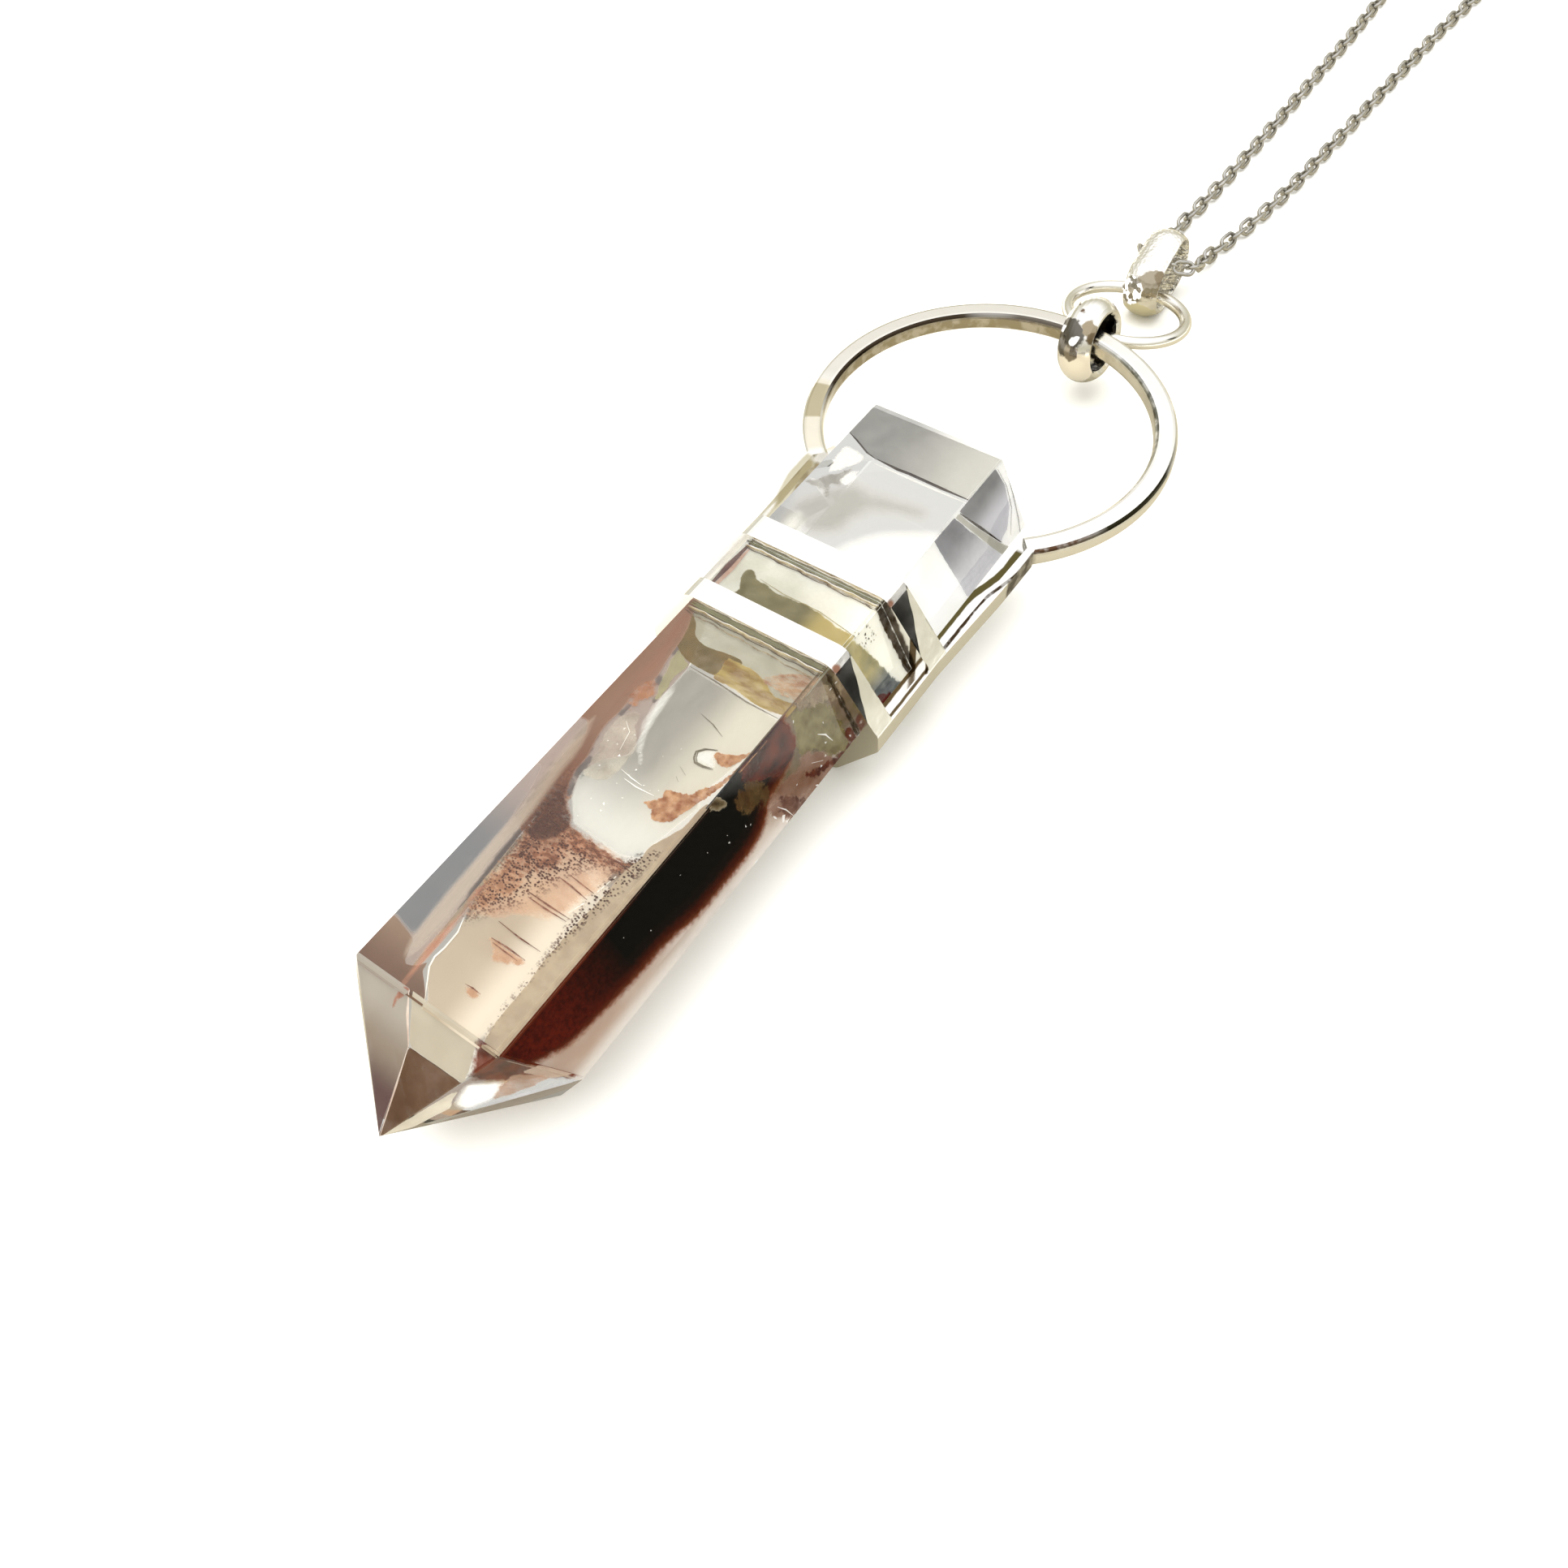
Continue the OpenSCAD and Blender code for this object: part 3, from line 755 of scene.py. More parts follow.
def lay_sheet(name, face, depth, outline, material, spacing=0.35, crisp=False):
    """Lays a thin sheet inside the crystal, parallel to a face. The outline is in mm across and along it."""
    start, across, along = face_at_depth(face, depth)
    edge = outline if crisp else rounded(outline)
    spill = 2 * spacing
    low = [min(p[i] for p in edge) - spill for i in (0, 1)]
    steps = [math.ceil((max(p[i] for p in edge) + spill - low[i]) / spacing) for i in (0, 1)]
    mesh = bmesh.new()
    grid = [[mesh.verts.new(start + across * (low[0] + i * spacing) + along * (low[1] + j * spacing))
             for j in range(steps[1] + 1)] for i in range(steps[0] + 1)]
    for i in range(steps[0]):
        for j in range(steps[1]):
            mesh.faces.new((grid[i][j], grid[i + 1][j], grid[i + 1][j + 1], grid[i][j + 1]))
    trim_to_crystal(mesh)
    layer = mesh.verts.layers.float.new("inset")
    for vert in mesh.verts:
        offset = vert.co - start
        vert[layer] = inset_from(edge, offset.dot(across), offset.dot(along))
    outside = [f for f in mesh.faces if all(v[layer] < -spacing for v in f.verts)]
    bmesh.ops.delete(mesh, geom=outside, context="FACES")
    keep_inside(name, mesh, material)


def lay_lines(name, face, depth, lines, material):
    """Lays thin lines with tapering ends inside the crystal. Each is its width in mm and the points that it
    runs through."""
    start, across, along = face_at_depth(face, depth)
    mesh = bmesh.new()
    layer = mesh.verts.layers.float.new("inset")
    for width, points in lines:
        places = [start + across * a + along * b for a, b in points]
        outward = across.cross(along)
        rails = []
        for i, place in enumerate(places):
            ahead = places[min(i + 1, len(places) - 1)] - places[max(i - 1, 0)]
            half = ahead.cross(outward).normalized() * width / 2
            if i in (0, len(places) - 1):
                half *= LINE_TAPER
            rails.append([mesh.verts.new(place - half), mesh.verts.new(place + half)])
        for (a, b), (c, d) in zip(rails, rails[1:]):
            mesh.faces.new((a, b, d, c))
    for vert in mesh.verts:
        vert[layer] = 1
    trim_to_crystal(mesh)
    keep_inside(name, mesh, material)


def lay_glints(name, face, depth, spots, material):
    """Small painted glints inside the crystal, white spots of light: each is its place across and along the
    face and its size in mm."""
    start, across, along = face_at_depth(face, depth)
    mesh = bmesh.new()
    layer = mesh.verts.layers.float.new("inset")
    for i, (a, b, size) in enumerate(spots):
        centre = start + across * a + along * b
        corners = []
        for k in range(5):
            angle = 1.1 * i + k * math.tau / 5 + 0.5 * math.sin(3.7 * i + 2.3 * k)
            reach = size / 2 * (0.75 + 0.45 * math.sin(2.1 * i + 4.3 * k))
            corner = centre + across * math.cos(angle) * reach + along * math.sin(angle) * reach
            corners.append(mesh.verts.new(corner))
        mesh.faces.new(corners)
    for vert in mesh.verts:
        vert[layer] = 1
    trim_to_crystal(mesh)
    keep_inside(name, mesh, material)


def sheet_cover(tree, clump, soft, ragged):
    """How far a point lies inside a sheet's ragged edge, in mm, and how fully the sheet covers it."""
    inset = add(tree, "Attribute", attribute_name="inset")["Fac"]
    uneven = add(tree, "MapRange", {
        "Value": clump, "From Min": NOISE_LOW, "From Max": NOISE_HIGH, "To Min": -ragged, "To Max": ragged,
    }, clamp=False)["Result"]
    reach = add(tree, "Math", {0: inset, 1: uneven}, operation="ADD")["Value"]
    cover = add(tree, "MapRange", {
        "Value": reach, "From Min": 0, "From Max": soft,
    }, interpolation_type="SMOOTHSTEP")["Result"]
    return reach, cover


def finish_stain(tree, inputs):
    """Ends the material of a mineral, or of a painted sheet of light or shade, inside the quartz, which is
    dull, since no air lies on it.
    """
    surface = add(tree, "BsdfPrincipled", {"Roughness": 0.7, "Specular IOR Level": 0, **inputs})["BSDF"]
    add(tree, "OutputMaterial", {"Surface": surface})


def stain(name, colours, opacity, soft=0.4, ragged=0.3, grain=1.2, stretch=(1, 1, 1), clumps=(0.35, 0.65),
          turns=(), glow=0.35):
    """A sheet in the quartz, of mineral stain or of painted light, shade or reflection: two colours in
    clumps, thinner towards a soft, ragged edge.

    Opacity goes from the thin to the thick clumps. Grain is the size of a clump in mm. Each turn is an axis,
    two places on it in mm and the colour that takes over between them. Glow is a painted glow, an emission
    as a share of its colour, that stands for the light the crystal gathers from behind the sheet.
    """
    material, tree, place = new_material(name)
    laid = add(tree, "Mapping", {"Vector": place, "Scale": stretch})["Vector"]
    clump = add(tree, "TexNoise",
                {"Vector": laid, "Scale": 1 / grain, "Detail": 4, "Roughness": 0.62})["Fac"]
    cover = sheet_cover(tree, clump, soft, ragged)[1]
    thick = add(tree, "MapRange", {
        "Value": clump, "From Min": clumps[0], "From Max": clumps[1],
        "To Min": opacity[0], "To Max": opacity[1],
    })["Result"]
    blend = add(tree, "TexNoise", {"Vector": laid, "Scale": 0.45 / grain, "Detail": 2})["Fac"]
    spread = add(tree, "MapRange", {"Value": blend, "From Min": 0.35, "From Max": 0.65})["Result"]
    colour = tint(tree, colours[0], colours[1], spread)
    parts = add(tree, "SeparateXYZ", {"Vector": place})
    for axis, begin, end, other in turns:
        colour = tint(tree, colour, other, add(tree, "MapRange", {
            "Value": parts[axis], "From Min": begin, "From Max": end,
        }, interpolation_type="SMOOTHSTEP")["Result"])
    finish_stain(tree, {
        "Base Color": colour, "Alpha": overlap(tree, cover, thick),
        "Emission Color": colour, "Emission Strength": glow,
    })
    return material


def iron_core(name, stops, soft, ragged, grain, deep=None, deep_range=None):
    """A thick mass of iron oxide: its colour goes from the edge inwards over the stops, mm and colour. Its
    inside can turn into two deep, mottled colours, between two places along the crystal in mm."""
    material, tree, place = new_material(name)
    clump = add(tree, "TexNoise", {
        "Vector": place, "Scale": 1 / grain, "Detail": 5, "Roughness": 0.65,
    })["Fac"]
    reach, cover = sheet_cover(tree, clump, soft, ragged)
    widest = stops[-1][0]
    inwards = add(tree, "MapRange", {"Value": reach, "From Min": 0, "From Max": widest})["Result"]
    colour = add(tree, "ValToRGB", {"Fac": inwards}, [(mm / widest, shade) for mm, shade in stops])["Color"]
    if deep:
        along = add(tree, "SeparateXYZ", {"Vector": place})["Y"]
        part = add(tree, "MapRange", {
            "Value": along, "From Min": deep_range[0], "From Max": deep_range[1],
        })["Result"]
        within = add(tree, "MapRange", {"Value": inwards, "From Min": 0.1, "From Max": 0.4})["Result"]
        mottle = add(tree, "MapRange", {"Value": clump, "From Min": 0.38, "From Max": 0.62})["Result"]
        colour = tint(tree, colour, tint(tree, *deep, mottle), part, within)
    finish_stain(tree, {"Base Color": colour, "Roughness": 0.6, "Alpha": cover})
    return material


GRAIN_DRIFT = 2
GRAIN_GATHERING = 1.4
GRAIN_LEVEL = (1.98, 2.04)
GRAIN_EDGE = (0.45, 0.62)


def dashes(name, colour, width, length, density, soft=0.3):
    """Fine grains of iron oxide, as long across the crystal and as wide along it as given in mm. They drift
    into thick and thin patches, and thin out towards the sheet's edge."""
    material, tree, place = new_material(name)
    laid = add(tree, "Mapping", {"Vector": place, "Scale": (1 / length, 1 / width, 1 / width)})["Vector"]
    cells = add(tree, "TexVoronoi", {"Vector": laid, "Scale": 1})
    chance = add(tree, "SeparateColor", {"Color": cells["Color"]})["Red"]
    drift = add(tree, "TexNoise", {"Vector": place, "Scale": 1 / GRAIN_DRIFT, "Detail": 2})["Fac"]
    inset = add(tree, "Attribute", attribute_name="inset")["Fac"]
    cover = add(tree, "MapRange", {"Value": inset, "From Min": 0, "From Max": soft})["Result"]
    many = add(tree, "Math", {0: drift, 1: GRAIN_GATHERING, 2: chance}, operation="MULTIPLY_ADD")["Value"]
    kept = add(tree, "MapRange", {
        "Value": many, "From Min": GRAIN_LEVEL[0] - density, "From Max": GRAIN_LEVEL[1] - density,
    })["Result"]
    grain = add(tree, "MapRange", {
        "Value": cells["Distance"], "From Min": GRAIN_EDGE[0], "From Max": GRAIN_EDGE[1],
        "To Min": 1, "To Max": 0,
    })["Result"]
    finish_stain(tree, {"Base Color": colour, "Alpha": overlap(tree, kept, grain, cover)})
    return material


def lay_left_side():
    """The rose-brown veil along the left edge, with its orange spot, the milky cloud, the pale streak and a
    painted blue-grey reflection of the sky lower down.
    """
    ground = stain("beige_mist", ("#A0918A", "#A69890"), (1, 1), soft=0.1, ragged=0, grain=3,
                   stretch=(1, 0.2, 1))
    lay_sheet("left_ground", "top", 0.32, [
        (-9, -0.8), (-4.4, -0.8), (-3.4, -3.1), (-2.4, -6.1), (-2.4, -9.5), (-1.7, -12), (-1.2, -14.4),
        (-2.8, -17), (-2.4, -19.2), (-3.4, -22), (-3, -28), (-2.9, -30.6), (-2.6, -35), (-2.4, -36.6),
        (-9, -36.6),
    ], ground, crisp=True)
    rose = stain("rose_brown_iron_stain", ("#84624C", "#8E705E"), (0.95, 1), soft=0.3, ragged=0.1, grain=2.5,
                 stretch=(1, 0.2, 1), turns=[("Y", -12, -18.5, "#6A452F")])
    lay_sheet("rose_veil", "top", 0.22, [
        (-9, -0.8), (-5.6, -0.8), (-5.2, -1.9), (-4.7, -3.1), (-4.3, -4.7), (-4.1, -6.1), (-3.7, -7.7),
        (-3.7, -8.6), (-4.2, -9.5), (-4.1, -10.8), (-4, -12), (-4.1, -13.1), (-4, -14.1), (-3.7, -15.2),
        (-3.4, -16.4), (-3.4, -17.6), (-3.1, -18.6), (-2.6, -19.6), (-0.9, -21), (-1.5, -23.2),
        (-3.8, -23.4), (-4.2, -21.9), (-4.6, -19.4), (-5.1, -16.5), (-5.6, -14), (-9, -13),
    ], rose)
    deep_rose = stain("deep_rose_stain", ("#744A36", "#805A46"), (0.3, 0.6), soft=0.9, ragged=0.15, grain=2,
                      stretch=(1, 0.25, 1))
    lay_sheet("rose_rim", "top", 0.2, [
        (-5.4, -1), (-4.7, -3.1), (-4.1, -6.1), (-3.7, -8.2), (-4.2, -9.5), (-4, -14.1), (-3.4, -17),
        (-2.9, -18.9), (-4, -20), (-5, -14), (-5.4, -8), (-6.2, -1),
    ], deep_rose)
    mauve = stain("mauve_film", ("#A8988F", "#93827C"), (0.3, 0.7), soft=0.5, ragged=0.1, grain=2,
                  stretch=(1, 0.2, 1))
    lay_sheet("mauve_edge", "top", 0.24, [
        (-9, -11.5), (-5.9, -12.5), (-5.4, -15), (-4.9, -18.7), (-4.8, -21), (-9, -21),
    ], mauve)
    pale = stain("pale_mist", ("#988676", "#A29282"), (0.9, 1), soft=0.75, ragged=0.06, grain=2,
                 stretch=(1, 0.2, 1), turns=[("Y", -19, -26, "#B2A699")])
    lay_sheet("pale_streak", "top", 0.18, [
        (-5.6, -12.6), (-5.6, -16.4), (-5.4, -18.7), (-5.1, -21), (-4.9, -22.9), (-4.8, -25.6),
        (-4.7, -28.2), (-4.6, -30.5), (-4.2, -33.6), (-3.4, -35), (-2.9, -34), (-2.8, -33.1), (-2.8, -30.7),
        (-3.1, -28), (-3.4, -25.3), (-3.5, -22.7), (-3.7, -20.5), (-4, -18.3), (-4.3, -15.6),
    ], pale)
    ochre = stain("ochre_iron_stain", ("#7E4A24", "#9E7050"), (0.5, 0.95), soft=0.5, ragged=0.25, grain=0.6)
    lay_sheet("ochre_spot", "top", 0.184, [
        (-4.7, -9.6), (-4.3, -8.8), (-3.6, -8.2), (-3, -8.8), (-2.8, -9.7), (-3.2, -10.5), (-3.5, -11.3),
        (-3.8, -12), (-4.3, -10.7),
    ], ochre, spacing=0.25)
    wedge = stain("straw_film", ("#9E9876", "#8C8768"), (0.7, 0.9), soft=0.15, ragged=0.1, grain=1)
    lay_sheet("straw_wedge", "top", 0.236, [
        (-4.2, -4.8), (-2.5, -6), (-2.7, -7.6), (-2.4, -9.5), (-2.7, -9.8), (-3.4, -8.3), (-4, -6.3),
    ], wedge, spacing=0.25, crisp=True)
    cloud = stain("milky_cloud", ("#8E8478", "#BDB6A8"), (0.2, 0.8), soft=0.2, ragged=0.12, grain=0.9)
    lay_sheet("cloud_patch", "top", 0.192, [
        (-3.8, -11.9), (-2.8, -11.2), (-2.2, -12.4), (-1.2, -13.6), (-1, -14.4), (-0.9, -15.7), (-1, -16.9),
        (-1.7, -17.4), (-3, -17.6), (-3.2, -16.5), (-3.5, -15.3), (-3.9, -14), (-4.1, -13),
    ], cloud)
    # Mauve-grey at its top, then a painted blue-grey reflection of the sky further towards the point
    sky_mirroring = stain("mauve_and_sky_reflection", ("#A3958F", "#A3958F"), (0.95, 1), soft=0.3, ragged=0.05, grain=1.5,
                  turns=[("Y", -19.5, -26, "#7A7B7E")])
    lay_sheet("sky_reflection_patch", "top", 0.212, [
        (-9, -18.5), (-5.6, -18.5), (-4.9, -21), (-4.5, -24), (-4.3, -27.6), (-4.1, -30.9), (-3.9, -33.3),
        (-5.9, -32.8), (-9, -32.4),
    ], sky_mirroring, crisp=True)
    umber = stain("umber_film", ("#8C7562", "#846C5A"), (0.92, 0.98), soft=0.06, ragged=0.03, grain=2,
                  turns=[("Y", -33, -36, "#6B5140")])
    lay_sheet("umber_corner", "top", 0.22, [
        (-9, -32.6), (-5.9, -32.8), (-3.9, -33.3), (-3.2, -34.9), (-2.5, -34.7), (-1.9, -33.9),
        (-1.8, -34.6), (-0.3, -35.9), (-0.1, -36.6), (-9, -36.6),
    ], umber, crisp=True)
    lay_sheet("umber_end_strip", "top", 0.03, [(-9, -36.2), (-0.2, -36.2), (-0.2, -37.4), (-9, -37.4)],
              umber, crisp=True)
    streak = stain("red_iron_streak", ("#96604A", "#A87860"), (0.6, 0.95), soft=0.45, ragged=0.12, grain=1.2,
                   stretch=(1, 0.3, 1))
    lay_sheet("red_streak", "top", 0.16, [
        (-2.5, -27.8), (-3.1, -28.3), (-2.9, -30.6), (-2.9, -32.9), (-2.6, -34.9), (-2.4, -36.4),
        (-1.8, -36.4), (-2, -34.4), (-2.1, -32.6), (-2.2, -31),
    ], streak, spacing=0.2)


def lay_window():
    """The clear window in the middle of the top face: a pane of painted shade, grey at its upper left and
    lighter to its right and bottom, a healed crack, the stained step and painted glints."""
    # Painted shade and light: the pane is grey at its upper left and lighter to its right and bottom
    pane = stain("window_painted_shade", ("#87857D", "#95928A"), (0.86, 0.94), soft=0.25, ragged=0.05, grain=1.6,
                 stretch=(1, 0.3, 1), turns=[("X", 0.2, 4.2, "#C8C4B6"), ("Y", -14, -20.5, "#D0D0CA")])
    lay_sheet("window_pane", "top", 0.24, [
        (-2.5, -6), (6, -6.4), (6, -9.9), (5.4, -13.2), (4.9, -15.1), (5.7, -15), (4.8, -19.7), (4.7, -20.6),
        (3.6, -21.3), (-0.9, -21.1), (-2.5, -19.4), (-3.2, -17.6), (-2.8, -16), (-1.2, -14.4), (-1.7, -12),
        (-2.4, -9.5),
    ], pane, crisp=True)
    clean = stain("clear_white_mist", ("#CFD1CF", "#E2E2DE"), (0.75, 0.95), soft=0.5, ragged=0.15, grain=1.5,
                  stretch=(1, 0.3, 1))
    lay_sheet("window_white_edge", "top", 0.22, [
        (-2.5, -9.7), (-2.2, -7.4), (-1.9, -8.3), (-1.3, -11.3), (-0.7, -13.4), (0.5, -15.2), (-1.1, -14),
        (-2.2, -12),
    ], clean, spacing=0.25)
    olive = stain("olive_film", ("#6E5A32", "#625430"), (0.9, 1), soft=0.08, ragged=0.03, grain=0.8)
    lay_sheet("olive_band", "top", 0.228, [
        (-5.6, -1.8), (-4.6, -2.3), (-3.8, -3.4), (-2.6, -3.8), (-0.6, -3.5), (0.7, -3.6), (0.5, -5),
        (-0.3, -5.7), (-1.6, -5.8), (-2.8, -5.7), (-3.9, -5.3), (-4.8, -4.6), (-5.6, -3.4),
    ], olive)
    gold = stain("golden_film", ("#7C602E", "#A8945A"), (0.8, 1), soft=0.12, ragged=0.1, grain=0.5,
                 stretch=(0.5, 1.4, 1))
    lay_sheet("golden_band", "top", 0.2, [
        (-0.6, -3.9), (0.9, -3.7), (2.3, -3.9), (3.4, -4.3), (4.1, -4.8), (5.1, -4.8), (6.3, -4.7),
        (6.3, -5.8), (5.4, -6.2), (4.3, -6.3), (2.8, -6.2), (1.2, -6), (-0.4, -6), (-0.3, -5),
    ], gold)
    straw = stain("straw_mist", ("#8E8C7A", "#AAA694"), (0.8, 0.97), soft=0.1, ragged=0.03, grain=1.5,
                  stretch=(0.4, 1, 1))
    lay_sheet("straw_mist_sheet", "top", 0.28, [
        (-5.4, -0.8), (6.5, -0.8), (6.5, -3), (5.8, -5), (4, -5), (2.3, -4.3), (-0.4, -4.3), (-2.6, -4.3),
        (-3.8, -3.9), (-5.2, -2.2),
    ], straw, crisp=True)
    thin = stain("fine_dark_line", ("#4E4638", "#5E5644"), (0.7, 0.95), grain=0.6)
    lay_lines("window_border", "top", 0.18, [(0.13, [(-2.4, -6), (-0.1, -6.1), (3, -6.4), (5.8, -6.4)])],
              thin)
    oval = [(4.5, -12.4), (3.7, -12.6), (3.1, -12.6), (2.8, -12.3), (2.6, -11.8), (3, -11.3), (3.8, -10.9)]
    lay_lines("oval_crack", "top", 0.152, [
        (0.16, oval), (0.08, [(a * 0.92 + 0.35, b * 0.92 - 0.9) for a, b in oval]),
        (0.09, [(0.9, -9), (2.2, -9.3), (3.4, -9.8)]), (0.07, [(2.4, -13.4), (3.2, -13.8)]),
        (0.06, [(2.7, -14.2), (3.1, -14.5)]),
    ], thin)
    lay_sheet("oval_inside", "top", 0.164, [
        (2.8, -12.4), (2.7, -11.8), (3.1, -11.3), (3.9, -11), (4.1, -11.6), (4.6, -12.1), (4.4, -12.4),
        (3.6, -12.5),
    ], clean, spacing=0.2)
    rust = stain("rusty_flake", ("#8A5630", "#BE946E"), (0.8, 1), soft=0.06, ragged=0.08, grain=0.3,
                 clumps=(0.42, 0.58))
    lay_sheet("orange_flake", "top", 0.16, [
        (3.7, -11.2), (4.2, -10.9), (5, -10.6), (5.5, -10.2), (6, -9.6), (5.6, -11.1), (5.1, -11.8),
        (4.4, -11.8),
    ], rust, spacing=0.15)
    lay_sheet("orange_step", "top", 0.172, [
        (2.1, -17.1), (3, -16.1), (2.6, -15.4), (3.3, -15.3), (4, -15), (4.4, -14.9), (4.7, -14.2),
        (5.2, -13.6), (5.6, -12.6), (5.9, -11.2), (6.1, -9.8), (6.2, -8), (6.3, -8), (6.25, -10.6),
        (6, -12.6), (5.6, -14.2), (5.1, -15.8), (4.7, -17.2), (4.1, -17.8), (3.3, -17.9), (3, -17.3),
    ], rust, spacing=0.2, crisp=True)
    # Painted glints: small white spots and scratch lines of light in the window
    bright = stain("painted_glint", ("#FFFFFF", "#F2EFE8"), (0.9, 1), grain=0.5)
    lay_glints("window_glints", "top", 0.14, [
        (-1.7, -15, 0.32), (0, -15.3, 0.2), (1.3, -16, 0.16), (-2.5, -14.3, 0.2), (-0.1, -15.9, 0.14),
        (1.9, -16.1, 0.12), (0.7, -17.6, 0.2), (-0.1, -18.7, 0.26), (-1.1, -18.8, 0.14), (-1, -20.4, 0.16),
        (-0.6, -14, 0.12), (2.4, -15.8, 0.14), (0.1, -19.2, 0.22), (-2.9, -13, 0.24), (-3.2, -14.4, 0.18),
        (-2.4, -16.4, 0.2), (-1.9, -13, 0.14), (0.9, -13.4, 0.1), (1.6, -12.2, 0.12), (-0.4, -16.9, 0.1),
    ], bright)
    lay_lines("window_scratches", "top", 0.14, [
        (0.1, [(-0.2, -16.3), (0.9, -16.4), (2.4, -16.3)]), (0.08,
                                                             [(-0.9, -15.8), (0.2, -16), (1.2, -16.1)]),
        (0.06, [(-3.2, -12.4), (-2.4, -13), (-2, -14.6)]),
    ], bright)


